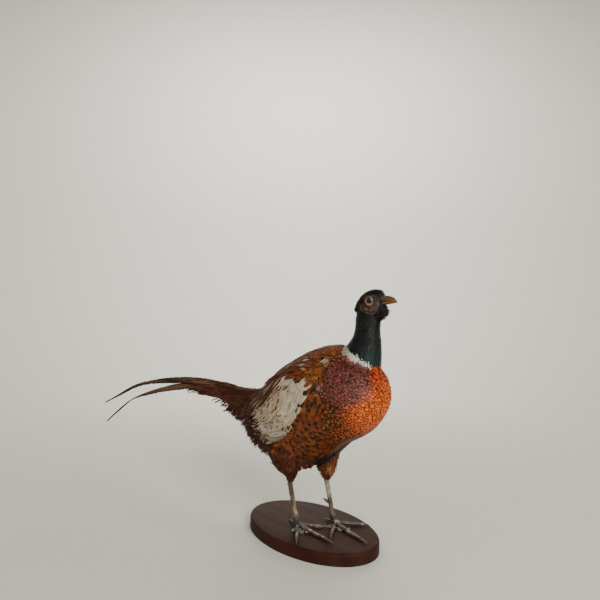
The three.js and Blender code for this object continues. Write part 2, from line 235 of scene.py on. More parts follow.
# %% Paper
WALL_RADIUS, WALL_HEIGHT, WALL_CURVE = 3.6, 4.3, 1.3
NEAR = 0.01
bm = bmesh.new()
bmesh.ops.create_cone(
    bm, cap_ends=True, segments=96, radius1=WALL_RADIUS, radius2=WALL_RADIUS, depth=WALL_HEIGHT,
    matrix=Matrix.Translation((0, 0, WALL_HEIGHT / 2)),
)
lid = [face for face in bm.faces if face.calc_center_median().z > WALL_HEIGHT - NEAR]
bmesh.ops.delete(bm, geom=lid, context="FACES")
rim = [edge for edge in bm.edges if max(vert.co.z for vert in edge.verts) < NEAR]
bmesh.ops.bevel(
    bm, geom=rim, offset=WALL_CURVE, segments=16, profile=0.5, affect="EDGES", offset_type="OFFSET",
    material=-1,
)
bmesh.ops.reverse_faces(bm, faces=bm.faces)
floor = object_of("floor", bm)
paper = Finish("pale paper", Base_Color=(0.76, 0.735, 0.66, 1), Roughness=0.85)
floor.data.materials.append(paper.material)
print("paper:", len(floor.data.polygons), "faces")

# %% [markdown]
# The key light is a large window ahead of the bird and to its right, a weaker one fills the other
# side, a third one high behind picks out the edge of the back, and three light the wall alone.

# %% Lights
LOOK_AT = Vector((-0.05, 0, 0.22))
LAMPS = {  # side length in metres, place, and power in watts
    "window": (1.0, (1.7, -0.75, 1.1), 36),
    "fill": (1.6, (0.1, -2.2, 0.9), 3),
    "rim": (0.8, (-1.1, 1.1, 1.3), 5),
}
WALL_LAMPS = {0: 95, 120: 14, 240: 14}  # power in watts at each angle round from behind the bird
WALL_LAMP_SIZE, WALL_LAMP_OUT, WALL_LAMP_HIGH, WALL_AIM_HIGH = 1.6, 1.7, 2.7, 1.1  # in metres


def soft_lamp(name, size, place, aim, power):
    """A square lamp that looks from its place towards aim."""
    lamp = bpy.data.lights.new(name, "AREA")
    lamp.size = size
    lamp.energy = power
    made = bpy.data.objects.new(name, lamp)
    made.location = place
    made.rotation_euler = (Vector(aim) - Vector(place)).to_track_quat("-Z", "Y").to_euler()
    bpy.context.scene.collection.objects.link(made)


for name, (size, place, power) in LAMPS.items():
    soft_lamp(name, size, place, LOOK_AT, power)
view = camera.matrix_world.to_3x3() @ Vector((0, 0, -1))
behind = Vector((view.x, view.y, 0)).normalized()
for angle, power in WALL_LAMPS.items():
    outward = Matrix.Rotation(math.radians(angle), 3, "Z") @ behind
    place = outward * WALL_LAMP_OUT + Vector((0, 0, WALL_LAMP_HIGH))
    aim = outward * WALL_RADIUS + Vector((0, 0, WALL_AIM_HIGH))
    soft_lamp(f"wall {angle}", WALL_LAMP_SIZE, place, aim, power)

world = bpy.data.worlds.new("room")
world.use_nodes = True
room_light = world.node_tree.nodes["Background"].inputs
room_light["Color"].default_value = (0.93, 0.95, 1.0, 1)
room_light["Strength"].default_value = 0.1
bpy.context.scene.world = world
print("lamps:", len(LAMPS) + len(WALL_LAMPS))

# %% [markdown]
# ## From faceted solids to a smooth form
# The solids are coarse and parted by hair-thin gaps. Copies of them are welded together, remeshed
# into one even net of small quads, which closes the gaps, and smoothed until the facets are gone.
# The same helper refines small hard parts, such as the bill and the toes, with a finer net.

# %% Weld, remesh and smooth
def solids(*names):
    """One bmesh with welded copies of the named solids."""
    bm = bmesh.new()
    for name in names:
        bm.from_mesh(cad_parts[name].data)
    bmesh.ops.remove_doubles(bm, verts=bm.verts, dist=1e-6)
    return bm


def at(spot, stretch=(1, 1, 1)):
    """A matrix that stretches, then moves to a spot given in millimetres."""
    return Matrix.Translation(Vector(spot) * MM) @ Matrix.Diagonal((*stretch, 1))


def ball(bm, spot, radius, fineness=3, stretch=(1, 1, 1)):
    """Adds a ball of a radius in millimetres."""
    bmesh.ops.create_icosphere(bm, subdivisions=fineness, radius=radius * MM, matrix=at(spot, stretch))


def refined(name, bm, voxel, smoothing):
    """An object with the bmesh's shape as an even, smoothed net of voxels in millimetres."""
    made = object_of(name, bm)
    net = made.modifiers.new("net", "REMESH")
    net.mode = "VOXEL"
    net.voxel_size = voxel * MM
    made.modifiers.new("relax", "SMOOTH").iterations = smoothing
    ready = made.evaluated_get(bpy.context.evaluated_depsgraph_get())
    made.modifiers.clear()
    made.data = bpy.data.meshes.new_from_object(ready)
    made.data.shade_smooth()
    return made


def rows(items, key, width=3):
    """The numbers of a mesh's points, normals or corners, one row for each."""
    flat = np.empty(len(items) * width)
    items.foreach_get(key, flat)
    return flat.reshape(-1, width)


def points_of(mesh):
    return rows(mesh.vertices, "co")


def normals_of(mesh):
    return rows(mesh.vertex_normals, "vector")


def put_points(mesh, points):
    mesh.vertices.foreach_set("co", points.ravel())
    mesh.update()


# %% [markdown]
# The form is the bird as its feathers' outer surface shows it. A few swellings that the solids leave
# out are added: two knobs of feathers on the crown, a fringe in front of the right thigh, the rise of
# the belly between breast and legs, and the thighs, of which the left is fuller.

# %% The smooth form under the feathers' outer surface
WINGS = [f"{part}_{side}" for part in ("wing", "flight_feathers") for side in SIDES]
THIGHS = [f"thigh_{side}" for side in SIDES]
EAR_TUFTS = [f"ear_tuft_{side}" for side in SIDES]
FLESH = ["trunk", "neck", "head", "tail_coverts", *THIGHS, *WINGS, *EAR_TUFTS]
FACE = [f"{part}_{side}" for part in ("wattle", "eye") for side in SIDES]
BELLY_RISE = 13
SWELLINGS = (  # middle, spread along the three axes, and amount
    ((10, 24, 114), (60, 16, 14), 5.0),
    ((-18, -29, 102), (24, 16, 10), -2.4),
)

bulk = solids(*FLESH, *FACE)
ball(bulk, (136.5, 0, 427.5), 4.6)
ball(bulk, (133, 0, 428), 4.2)
ball(bulk, (2, -27, 136), 1, stretch=(26, 12, 15))
form = refined("form", bulk, voxel=1.9, smoothing=14)
form_points = points_of(form.data)
form_x, form_z = form_points[:, 0] / MM, form_points[:, 2] / MM
form_points[:, 2] += BELLY_RISE * MM * (np.exp(-(((form_x - 78) / 40) ** 2)) * smoothstep(222, 165, form_z))
for spot, spread, amount in SWELLINGS:
    away = np.sum(((form_points / MM - spot) / spread) ** 2, axis=1)
    form_points += normals_of(form.data) * amount * MM * np.exp(-away)[:, None]
put_points(form.data, form_points)
form_normals = normals_of(form.data)
form_tree = BVHTree.FromObject(form, bpy.context.evaluated_depsgraph_get())
print("form:", len(form_points), "points")

# %% [markdown]
# ## Plinth
# The plinth is an oval board with a softened top edge, stained dark red-brown and polished. A disc is
# stretched to the oval of the solid it replaces and extruded to its thickness, and its top rim is
# bevelled round. Two cuts round the side keep its long faces short enough for an even finish.

# %% Plinth
PLINTH_EDGE = 4 * MM
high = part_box("plinth")[1]
bm = bmesh.new()
bmesh.ops.create_circle(bm, cap_ends=True, segments=160, radius=1)
bmesh.ops.scale(bm, verts=bm.verts, vec=(high.x, high.y, 1))
raised = bmesh.ops.extrude_face_region(bm, geom=list(bm.faces))
top = [v for v in raised["geom"] if isinstance(v, bmesh.types.BMVert)]
bmesh.ops.translate(bm, verts=top, vec=(0, 0, high.z))
rim = [e for e in bm.edges if all(v.co.z > high.z / 2 for v in e.verts)]
bmesh.ops.bevel(bm, geom=rim, offset=PLINTH_EDGE, segments=6, profile=0.5, affect="EDGES", material=-1)
for height in (0.25, 0.55):
    cut = bm.verts[:] + bm.edges[:] + bm.faces[:]
    bmesh.ops.bisect_plane(bm, geom=cut, plane_co=(0, 0, high.z * height), plane_no=(0, 0, 1))
bmesh.ops.recalc_face_normals(bm, faces=bm.faces)
plinth = object_of("plinth_board", bm)
plinth.data.set_sharp_from_angle(angle=math.radians(50))

# %% [markdown]
# The stain sinks unevenly into the wood, so the finish mixes browns along a wavy figure and a
# stretched noise for the grain, adds fine dark pores, and lays a clear satin varnish over them as the
# shader's coat.

# %% Stained wood
def stained_wood():
    f = Finish("stained wood", Roughness=0.6, Specular_IOR_Level=0.06, Coat_Weight=0.05, Coat_Roughness=0.28)
    grain = f.noise(60, detail=6, stretch=(0.12, 1, 1))
    board = f.stretched(f.place(), (0.15, 1, 0.4))
    wave = {"Vector": board, "Scale": 9, "Distortion": 6, "Detail": 3, "Detail Scale": 1.4}
    figure = f.node("TexWave", sockets=wave, bands_direction="Y")
    pores = f.step(f.noise(900, detail=2, stretch=(0.05, 1, 1)), 0.62, 0.7)
    stain = f.mix(figure, (0.038, 0.0125, 0.008), (0.066, 0.022, 0.0135))
    stain = f.mix(grain, stain, (0.026, 0.008, 0.0055))
    f.paint(f.mix(f.times(pores, 0.5), stain, (0.02, 0.008, 0.006)))
    f.bump(f.minus(grain, pores), strength=0.12)
    return f


dress(plinth, stained_wood(), "wood", "plinth")

# %% [markdown]
# ## Where each kind of feather grows
# A cock pheasant is divided into tracts, and each tract has feathers of its own size, shape and
# pattern: tiny metallic scales on the neck, copper scallops on the breast, gold feathers with a black
# tip spot on the flank, and so on. The tract of a point is read from which solid it belongs to and
# from a few outlines drawn on the bird's side, in millimetres along and up. The outlines are wobbled
# a little, so that no border is a clean line.

# %% Outlines of the tracts, seen from the side
OUTLINES = {
    "scapular": [
        (70, 312), (68, 303), (65, 295), (65, 287), (61, 281), (49, 277), (31, 280), (4, 283), (-20, 282),
        (-47, 283), (-60, 292), (-40, 306), (-16, 314), (12, 319), (52, 317),
    ],
    "covert": [
        (-17, 277), (5, 279), (29, 277), (48, 275), (50, 265), (45, 254), (36, 244), (32, 233), (22, 223),
        (8, 212), (-5, 208), (-15, 215), (-16, 225), (-10, 239), (-6, 252), (-18, 260), (-27, 270),
    ],
    "wing": [
        (50, 276), (52, 264), (47, 253), (38, 243), (34, 232), (24, 221), (14, 209), (1, 191), (-20, 172),
        (-34, 178), (-59, 192), (-93, 192), (-115, 208), (-114, 236), (-92, 248), (-69, 266), (-46, 280),
        (-19, 280), (4, 282), (31, 279),
    ],
    "flight": [
        (-74, 204), (-47, 212), (-17, 211), (9, 210), (9, 199), (-4, 184), (-22, 172), (-40, 163),
        (-33, 153), (-43, 155), (-62, 162), (-87, 169), (-92, 182),
    ],
    "gold": [
        (63, 299), (65, 286), (61, 281), (47, 280), (37, 287), (43, 295), (47, 300),
    ],
    "crop": [
        (61, 306), (72, 311), (93, 315), (110, 310), (128, 307), (130, 293), (129, 280), (120, 270),
        (111, 256), (94, 247), (82, 258), (74, 272), (67, 291),
    ],
    "face": [
        (139, 413), (136, 419), (131, 422), (122, 422), (115, 419.5), (112, 412), (113, 406), (107, 405),
        (104.5, 401), (109, 397), (116, 392), (125, 390), (133, 391), (138, 397), (138, 403), (140, 408),
    ],
}


def inside(name, x, z):
    """How far points lie inside an outline, in millimetres, and negative outside it."""
    corners = np.array(OUTLINES[name], float)
    nearest = np.full(x.shape, 1e9)
    within = np.zeros(x.shape, bool)
    for (ax, az), (bx, bz) in zip(corners, np.roll(corners, -1, axis=0)):
        run = ((x - ax) * (bx - ax) + (z - az) * (bz - az)) / np.hypot(bx - ax, bz - az) ** 2
        run = np.clip(run, 0, 1)
        gap = np.hypot(x - ax - run * (bx - ax), z - az - run * (bz - az))
        nearest = np.minimum(nearest, gap)
        crossing = ax + (z - az) / (bz - az + 1e-9) * (bx - ax)
        within ^= ((az > z) != (bz > z)) & (x < crossing)
    return np.where(within, nearest, -nearest)


def wobble(points, size, amount):
    """A smooth wobble over the points, with waves of about size and as high as amount."""
    x, y, z = points.T / size
    waves = np.sin(x * 2.1 + z * 1.3 + 0.7) + np.sin(z * 2.7 - x * 1.1 + 2.1)
    return amount * (waves + np.sin(y * 2.3 + z * 1.9 + 4.2)) / 3


# %% Which solid and which tract a point belongs to
def nearest_node(points, names):
    """For each point, which of the named solids lies nearest."""
    gaps = []
    for name in names:
        bm = solids(name)
        tree = BVHTree.FromBMesh(bm)
        bm.free()
        gaps.append([tree.find_nearest(point)[3] for point in points])
    return np.array(names)[np.argmin(gaps, axis=0)]


def tract_of(points, owner):
    """The tract of each point, given in millimetres, from its solid and the outlines."""
    x, y, z = points.T
    far = np.abs(y)
    wavy = wobble(points, 14, 5)
    tract = np.full(len(points), "breast", dtype="<U12")
    shoulder = 262 + 0.55 * np.clip(x + 60, 0, 110)
    tract[(z > shoulder) & (x < 92 + 0.9 * np.clip(z - 312, 0, 30))] = "mantle"
    # Below the shoulder line the breast gives way to the side, the flank, the belly and the vent.
    below = tract == "breast"
    tract[below & (x < 98 + 0.012 * (z - 238) ** 2 + 0.6 * wavy) & (far > 26)] = "side"
    tract[below & (x < 72 - 0.10 * (z - 240) - 0.25 * np.clip(200 - z, 0, 60) + wavy)] = "flank"
    low = z < 156 + 0.50 * np.clip(x - 40, 0, 90) - 0.34 * far + 0.4 * wavy
    tract[below & low] = "belly"
    tract[below & (x < -56) & (z < 206)] = "vent"
    tract[below & (x < -28) & (z > 224 + 0.25 * (x + 28) + wavy)] = "rump"
    tract[(x < -118) & (z > 190)] = "rump"
    tract[(x < -118) & (z <= 190)] = "vent"
    # The shoulder and the folded wing lie over them.
    tract[(far > 16) & below & (inside("crop", x, z) + 0.4 * wavy > 0)] = "crop"
    tract[(inside("scapular", x, z) + 0.6 * wavy > 0) & (far > 24)] = "scapular"
    wing = (inside("wing", x, z) + 0.3 * wavy > 0) & (far > 28)
    tract[wing] = "secondary"
    tract[wing & (inside("covert", x, z) + 0.5 * wavy > 0)] = "covert"
    tract[(inside("flight", x, z) > 0) & (far > 28) & (z < 204)] = "primary"
    tract[(inside("gold", x, z) + 0.5 * wavy > 0) & (far > 22)] = "gold"
    tail = owner == "tail_coverts"
    tract[tail] = np.where(z[tail] < 206, "vent", "rump")
    tract[np.char.startswith(owner, "thigh") & (z < 156)] = "thigh"
    # The white ring slopes down towards the front, and parts the neck from the body.
    ring = z - (331 - 0.52 * (x - 86)) + wobble(points, 5, 1.2)
    reach = np.where(x < 100, 5.6, 5.6 - 0.13 * (x - 100))
    throat = np.hypot(x - 104, 0.9 * y)
    tract[(ring > 0) & (z > 303) & (throat < 46) & ((owner != "trunk") | (z > 318))] = "neck"
    tract[(np.abs(ring) < reach) & (x < 128) & (z > 300) & (z < 345)] = "collar"
    tract[(owner == "head") | np.char.startswith(owner, "ear_tuft")] = "head"
    tract[(owner == "head") & (z < 402) & (x > 117)] = "beard"
    return tract


# %% [markdown]
# ## The skin
# On a mount, the tanned skin runs in one piece from the bill to the tail and down to the ankles. Here
# it is the smooth form pulled inwards by the depth of the coat: three millimetres on the body and
# less on the head. The depth changes gradually, because each point takes half of its own and half of
# its neighbours' mean, a few times over.

# %% The skin, inside the form by the coat's depth
COAT_DEPTH = {"head": 1.1, "beard": 1.6, "neck": 1.8, "collar": 2.4, "thigh": 2.0}
BODY_DEPTH = 3.0
BLUR_ROUNDS = 12
owner = nearest_node(form_points, FLESH)
form_tract = tract_of(form_points / MM, owner)
depth = np.array([COAT_DEPTH.get(tract, BODY_DEPTH) for tract in form_tract])
neighbours = np.array([edge.vertices[:] for edge in form.data.edges])
count = np.bincount(neighbours.ravel(), minlength=len(depth))
for _ in range(BLUR_ROUNDS):
    total = np.zeros(len(depth))
    np.add.at(total, neighbours[:, 0], depth[neighbours[:, 1]])
    np.add.at(total, neighbours[:, 1], depth[neighbours[:, 0]])
    depth = 0.5 * depth + 0.5 * total / count
print("coat depth:", depth.min().round(2), "to", depth.max().round(2), "mm")

skin_mesh = form.data.copy()
skin_mesh.name = "skin"
skin = add_object("skin", skin_mesh)
put_points(skin_mesh, form_points - form_normals * depth[:, None] * MM)

# %% [markdown]
# ## Colours and markings of each tract
# A body feather shows its outer third, and a bird's pattern is made there: a ground colour, a margin
# round the tip, and a mark such as a spot or a streak down the middle. So each tract states three
# colours, how wide its margin is, and where its mark sits on the vane. The numbers go onto the
# feathers as attributes, and one material reads them all.

# %% Colours, in linear light
COPPER = (0.72, 0.125, 0.010)
FLAME = (0.46, 0.045, 0.010)
EMBER = (0.24, 0.030, 0.008)
PLUM = (0.19, 0.050, 0.036)
GOLD = (0.30, 0.080, 0.006)
UMBER = (0.19, 0.042, 0.004)
STRAW = (0.50, 0.24, 0.07)
RUST = (0.165, 0.038, 0.010)
BRONZE = (0.20, 0.065, 0.014)
MAROON = (0.062, 0.014, 0.006)
SOOT = (0.008, 0.0045, 0.003)
CREAM = (0.60, 0.48, 0.32)
ASH = (0.55, 0.47, 0.35)
DUST = (0.27, 0.21, 0.135)
SNOW = (0.80, 0.77, 0.70)
NAVY = (0.0085, 0.0075, 0.0085)
TEAL = (0.010, 0.050, 0.040)
VIOLET = (0.022, 0.009, 0.016)
FACE_DARK = (0.016, 0.008, 0.006)
print("colours: 19, from SNOW", SNOW, "to SOOT", SOOT)

# %% Markings of each tract
# Per tract: ground, margin colour, margin width, mark colour, chance of a mark, and the mark's half
# width and half length on the vane, and its place along it.
MARKINGS = {
    "breast": (COPPER, SOOT, 0.21, SOOT, 0.6, 0.18, 0.11, 0.93),
    "side": (UMBER, SOOT, 0.30, GOLD, 0.45, 0.40, 0.08, 0.78),
    "crop": (PLUM, SOOT, 0.20, SOOT, 0.6, 0.22, 0.14, 0.90),
    "flank": (UMBER, MAROON, 0.12, SOOT, 0.88, 0.54, 0.25, 0.80),
    "belly": (RUST, SOOT, 0.14, SOOT, 0.6, 0.30, 0.14, 0.86),
    "vent": (MAROON, SOOT, 0.10, RUST, 0.25, 0.30, 0.30, 0.70),
    "mantle": (BRONZE, MAROON, 0.16, MAROON, 0.5, 0.26, 0.18, 0.74),
    "scapular": (RUST, MAROON, 0.20, BRONZE, 0.4, 0.42, 0.26, 0.68),
    "gold": (BRONZE, MAROON, 0.10, GOLD, 0.6, 0.40, 0.20, 0.75),
    "covert": (ASH, CREAM, 0.10, ASH, 0.0, 0.34, 0.12, 0.72),
    "secondary": (MAROON, RUST, 0.14, CREAM, 0.40, 0.24, 0.34, 0.66),
    "primary": (DUST, ASH, 0.16, MAROON, 0.25, 0.20, 0.50, 0.55),
    "rump": (MAROON, SOOT, 0.10, RUST, 0.35, 0.40, 0.50, 0.60),
    "thigh": (RUST, SOOT, 0.18, RUST, 0.35, 0.40, 0.40, 0.65),
    "collar": (SNOW, ASH, 0.10, ASH, 0.2, 0.30, 0.30, 0.50),
    "neck": (NAVY, SOOT, 0.22, (0.010, 0.022, 0.021), 0.5, 0.70, 0.30, 0.75),
    "head": (NAVY, SOOT, 0.20, MAROON, 0.10, 0.25, 0.40, 0.60),
    # The beard's ground is darker than soot: the feathers are black, and the shade that the bill casts on
    # them is painted in.
    "beard": ((0.005, 0.0035, 0.003), SOOT, 0.20, MAROON, 0.4, 0.30, 0.40, 0.60),
}
# Where pale feathers stand out among the rust of the shoulder: along, up, and radius.
FLECKS = [(13, 313, 4), (15, 306, 5), (23, 300, 5), (23, 294, 4), (55, 313, 3.5), (64, 309, 4), (70, 306, 4),
          (60, 301, 3), (-35, 303, 4), (-34, 298, 3)]
print("tracts:", len(MARKINGS), "flecks:", len(FLECKS))

# %% [markdown]
# No tract has one even colour. A list of tints shifts the ground of some tracts towards another
# colour, by a share that rises along the body or with a cloudy wobble. The breast, for one, is
# brightest in front. Where it turns back to the side it is painted darker rust as shade, and it
# turns to purple on the shoulder and rust underneath.

# %% Tints
def tints_of(points):
    """Which tracts are tinted, with which colour, and by what share at each point."""
    x, y, z = points.T
    far = np.abs(y)
    cloud = wobble(points, 11, 1)
    round_front = far - 15 - 0.55 * np.clip(300 - z, 0, 80) + 4 * cloud
    shadow_behind_wing = np.hypot(x + 94, z - 196)
    violet = smoothstep(325, 345, z) * smoothstep(396, 372, z) * smoothstep(-0.4, 0.8, cloud) * 0.8
    return [
        ("breast", FLAME, smoothstep(256, 296, z + 6 * cloud) * 0.8),
        ("breast", RUST, smoothstep(214, 178, z) * 0.8),
        # Painted shade: behind its very front, the lower breast is tinted darker rust where it turns back to
        # the side.
        ("breast", RUST, smoothstep(128, 100, x + 3 * cloud) * smoothstep(268, 240, z) * 0.8),
        ("breast crop", PLUM, smoothstep(-9, 12, round_front) * smoothstep(226, 262, z)),
        ("crop", EMBER, smoothstep(8, -8, round_front) * 0.9),
        ("crop", MAROON, smoothstep(0.2, 0.9, -cloud) * 0.4),
        ("side", RUST, smoothstep(-0.4, 0.6, cloud) * 0.5),
        ("side", PLUM, smoothstep(240, 270, z) * 0.9),
        ("side", COPPER, smoothstep(58, 44, far) * smoothstep(250, 230, z) * 0.6),
        ("flank", RUST, smoothstep(170, 135, z) * 0.6 + 0.25 * cloud),
        ("flank", GOLD, smoothstep(0.2, 0.9, -cloud) * 0.7),
        ("flank", MAROON, smoothstep(60, 20, far) * 0.5),
        ("belly", SOOT, smoothstep(40, 10, far) * 0.6 + smoothstep(165, 140, z) * 0.5),
        ("mantle", RUST, smoothstep(60, -10, x + 9 * cloud) * 0.6),
        ("mantle", GOLD, smoothstep(0.2, 0.9, cloud) * 0.5),
        ("mantle", MAROON, smoothstep(0, -60, x) * 0.7),
        ("scapular", MAROON, smoothstep(-0.1, -0.9, cloud) * 0.5 + smoothstep(0, -40, x) * 0.5),
        ("scapular", GOLD, smoothstep(0.3, 1.0, cloud) * smoothstep(20, 50, x) * 0.8),
        ("covert", SNOW, smoothstep(0.0, 0.8, cloud) * 0.35),
        ("neck", TEAL, smoothstep(346, 312, z) * smoothstep(100, 124, x) * 0.9),
        ("neck", VIOLET, violet),
        ("collar", ASH, smoothstep(106, 92, x) * 0.8),
        # Painted light and shade on the thighs, which carry the same rust feathers: the left is lighter, with
        # pale straw streaks as painted highlights, and the right is darker maroon as painted shade.
        ("thigh", MAROON, np.where(y > 0, 0.1, 0.9)),
        ("thigh", STRAW, np.where(y > 0, 0.6, 0.06) * smoothstep(-0.2, 0.6, cloud)),
        ("beard", MAROON, smoothstep(139, 146, x) * smoothstep(394, 400, z) * 0.4),
        ("primary", SNOW, smoothstep(178, 182, z + 3 * cloud) * smoothstep(188, 184, z) * 0.7),
        # Painted shadow: the ground turns black in the gap where the folded wing's rear end meets the rump
        # and the vent.
        ("vent rump secondary flank", SOOT, smoothstep(20, 8, shadow_behind_wing + 4 * cloud)),
    ]


# %% Ground, margin and mark at each point
def flecked(points, tract):
    """Whether each point, in millimetres, lies in a pale fleck of the shoulder."""
    near = [np.hypot(points[:, 0] - x, 0.8 * (points[:, 2] - z)) < radius for x, z, radius in FLECKS]
    return np.any(near, axis=0) & np.isin(tract, ("scapular", "mantle", "gold"))


def where(chosen, new, old):
    """Rows of old, with new in the chosen ones."""
    return np.where(chosen[:, None], np.array(new), old)


def colours_of(points, tract):
    """Ground, margin, mark and the mark's place for each point in millimetres."""
    table = {name: [*row[0], *row[1], row[2], *row[3], *row[4:]] for name, row in MARKINGS.items()}
    columns = np.array([table[name] for name in tract])
    ground, margin, width, mark, likely, spot = np.split(columns, (3, 6, 7, 10, 11), axis=1)
    width, likely = width[:, 0], likely[:, 0]
    x, y, z = points.T
    for names, colour, share in tints_of(points):
        mine = np.isin(tract, names.split())
        ground = blend(ground, np.array(colour), np.where(mine, np.clip(share, 0, 1), 0))
    # The black rims are the feathers' own. They are widened where the breast turns back to the side, as
    # painted shade.
    shaded_turn = smoothstep(132, 104, x) * smoothstep(284, 262, z) * np.isin(tract, ("breast", "side"))
    width = width * (1 + 0.3 * shaded_turn)
    # Below its dark upper edge the rear wing is cream with short dark streaks.
    below_edge = 238 + 0.8 * (x + 50) - z + 8 * wobble(points, 11, 1)
    cream = (tract == "secondary") & (below_edge > 0)
    ground = where(cream, np.array(CREAM) * 0.85, ground)
    margin = where(cream, np.array(ASH) * 0.8, margin)
    mark = where(cream, MAROON, mark)
    likely = np.where(cream, (0.45 + 0.5 * smoothstep(24, 0, below_edge)) * smoothstep(22, 2, x), likely)
    spot = where(cream, (0.58, 0.17, 0.78), spot)
    # Low on the flank the spots turn into bars across the tips.
    spot = blend(spot, np.array((0.75, 0.10, 0.86)), smoothstep(235, 195, z) * (tract == "flank"))
    pale = flecked(points, tract)
    ground = where(pale, np.array(CREAM) * 0.75, ground)
    margin = where(pale, RUST, margin)
    likely = np.where(pale, 0, likely)
    bare = (inside("face", x, z) > -1) & (np.abs(y) > 7) & np.isin(tract, ("head", "beard", "neck"))
    return where(bare, FACE_DARK, ground), margin, width, mark, likely, spot


# %% [markdown]
# ## One feather
# A contour feather is a thin blade with a rounded tip, a little arched across, with its shaft as a
# low ridge. Here it starts as a three-sided rod, cut across into a few lengths; that is only a few
# dozen faces, since thousands are needed. Each point's place along and across the rod is kept, and
# every feather of a tract is that rod, flattened, stretched, turned and laid on the form.

# %% The rod that becomes every body feather
def rod(cuts):
    """A closed three-sided rod from z = 0 to 1, cut across, as its points and its faces' corners."""
    bm = bmesh.new()
    bmesh.ops.create_cone(bm, cap_ends=True, segments=3, radius1=1, radius2=1, depth=1)
    bmesh.ops.translate(bm, verts=bm.verts, vec=(0, 0, 0.5))
    for cut in cuts:
        everything = bm.verts[:] + bm.edges[:] + bm.faces[:]
        bmesh.ops.bisect_plane(bm, geom=everything, plane_co=(0, 0, cut), plane_no=(0, 0, 1))
    bmesh.ops.recalc_face_normals(bm, faces=bm.faces)
    bm.verts.index_update()
    points = np.array([v.co[:] for v in bm.verts])
    faces = [[v.index for v in f.verts] for f in bm.faces]
    bm.free()
    return points, faces


rod_points, rod_faces = rod((0.22, 0.45, 0.68, 0.86, 0.95))
rod_across = rod_points[:, 0] / np.abs(rod_points[:, 0]).max()
rod_along = rod_points[:, 2]
print("feather:", len(rod_points), "points,", len(rod_faces), "faces")

# %% [markdown]
# ## Laying the coat
# Feathers overlap like tiles: each starts in the skin, rises to the surface and covers the roots of
# those behind it with its tip. Their roots are scattered over the form, never closer than the tract
# allows, and each points the way the plumage lies there. Every point of a feather is dropped onto the
# form and lifted by its height along the vane, so that the coat follows the body as real feathers do.

# %% Which way the plumage lies
LIE = {
    "breast": (-0.45, 0, -1), "side": (-0.5, 0, -1), "crop": (-0.5, 0, -0.9), "flank": (-0.4, 0, -1),
    "belly": (-0.9, 0, -0.45), "vent": (-0.7, 0, -0.75), "mantle": (-1, 0, -0.25),
    "scapular": (-0.85, 0, -0.5),
    "gold": (-0.7, 0, -0.7), "covert": (-0.55, 0, -0.85), "secondary": (-0.72, 0, -0.72),
    "primary": (-1, 0, -0.22), "rump": (-1, 0, -0.1), "thigh": (-0.15, 0, -1), "collar": (-0.15, 0, -1),
    "neck": (-0.1, 0, -1), "head": (-1, 0, -0.35), "beard": (-0.5, 0, -1),
}


def lie_of(points, tract, up):
    """The way the plumage lies along the surface, at points in millimetres with normals up."""
    way = unit(np.array([LIE[name] for name in tract]))
    x, y, z = points.T
    under = smoothstep(210, 165, z) * np.isin(tract, ("breast", "side"))
    way = unit(blend(way, np.array((-1.0, 0, -0.2)), under * 0.6))
    steep = smoothstep(-50, -20, x) * (tract == "secondary")
    way = unit(blend(way, np.array((-0.5, 0, -0.86)), steep))
    outward = np.zeros_like(way)
    outward[:, 1] = np.sign(y) * smoothstep(280, 310, z) * smoothstep(60, 110, x) * 0.6
    return along_surface(way + outward * np.isin(tract, ("breast", "crop"))[:, None], up)


# %% The size and the spacing of each tract's feathers
# Per tract: distance between roots along and across the lie, length, width, how closely the vane
# follows the form, how far its tip stands off, and how many degrees its direction varies.
TRACTS = {
    "breast": (3.6, 3.9, 10, 6.8, 1.0, 0.48, 6),
    "side": (3.7, 6.0, 12, 10, 1.0, 0.7, 5),
    "crop": (3.4, 3.6, 10, 6.4, 1.0, 0.45, 8),
    "flank": (10, 6.8, 23, 11, 0.96, 0.9, 7),
    "belly": (6.0, 5.4, 19, 7, 0.85, 1.4, 12),
    "vent": (6.5, 2.8, 28, 2.2, 0.55, 2.4, 17),
    "mantle": (4.8, 4.4, 15, 7, 0.98, 0.8, 9),
    "scapular": (8.0, 4.8, 22, 8, 0.96, 1.0, 9),
    "gold": (5.2, 4.4, 15, 7, 0.97, 0.9, 8),
    "covert": (5.4, 3.8, 18, 6.2, 0.99, 0.7, 9),
    "secondary": (14, 4.2, 40, 7.5, 0.98, 1.0, 3),
    "primary": (17, 3.0, 46, 6.5, 0.98, 1.0, 4),
    "rump": (7.5, 2.8, 34, 3.0, 0.92, 1.2, 7),
    "thigh": (3.6, 2.0, 14, 2.3, 0.78, 1.1, 16),
    "collar": (1.7, 1.15, 6.5, 1.4, 0.85, 0.9, 24),
    "neck": (2.1, 1.8, 6.0, 2.4, 1.0, 0.35, 9),
    "head": (1.7, 1.3, 4.8, 1.6, 1.0, 0.3, 11),
    "beard": (2.2, 1.3, 7.5, 1.2, 0.6, 0.9, 20),
}
ALONG, ACROSS, LENGTH, WIDTH, HUG, LIFT, JITTER = range(7)
SHOWN = 0.7  # the middle of the part of a feather that shows, as a share of its length
NEIGHBOURS = list(product((-1, 0, 1), repeat=3))


def numbers_of(tract):
    return np.array([TRACTS[name] for name in tract])


def shown_part(places, way, tract):
    """The middle of the part of each feather that shows, in millimetres."""
    return places + way * numbers_of(tract)[:, LENGTH, None] * SHOWN


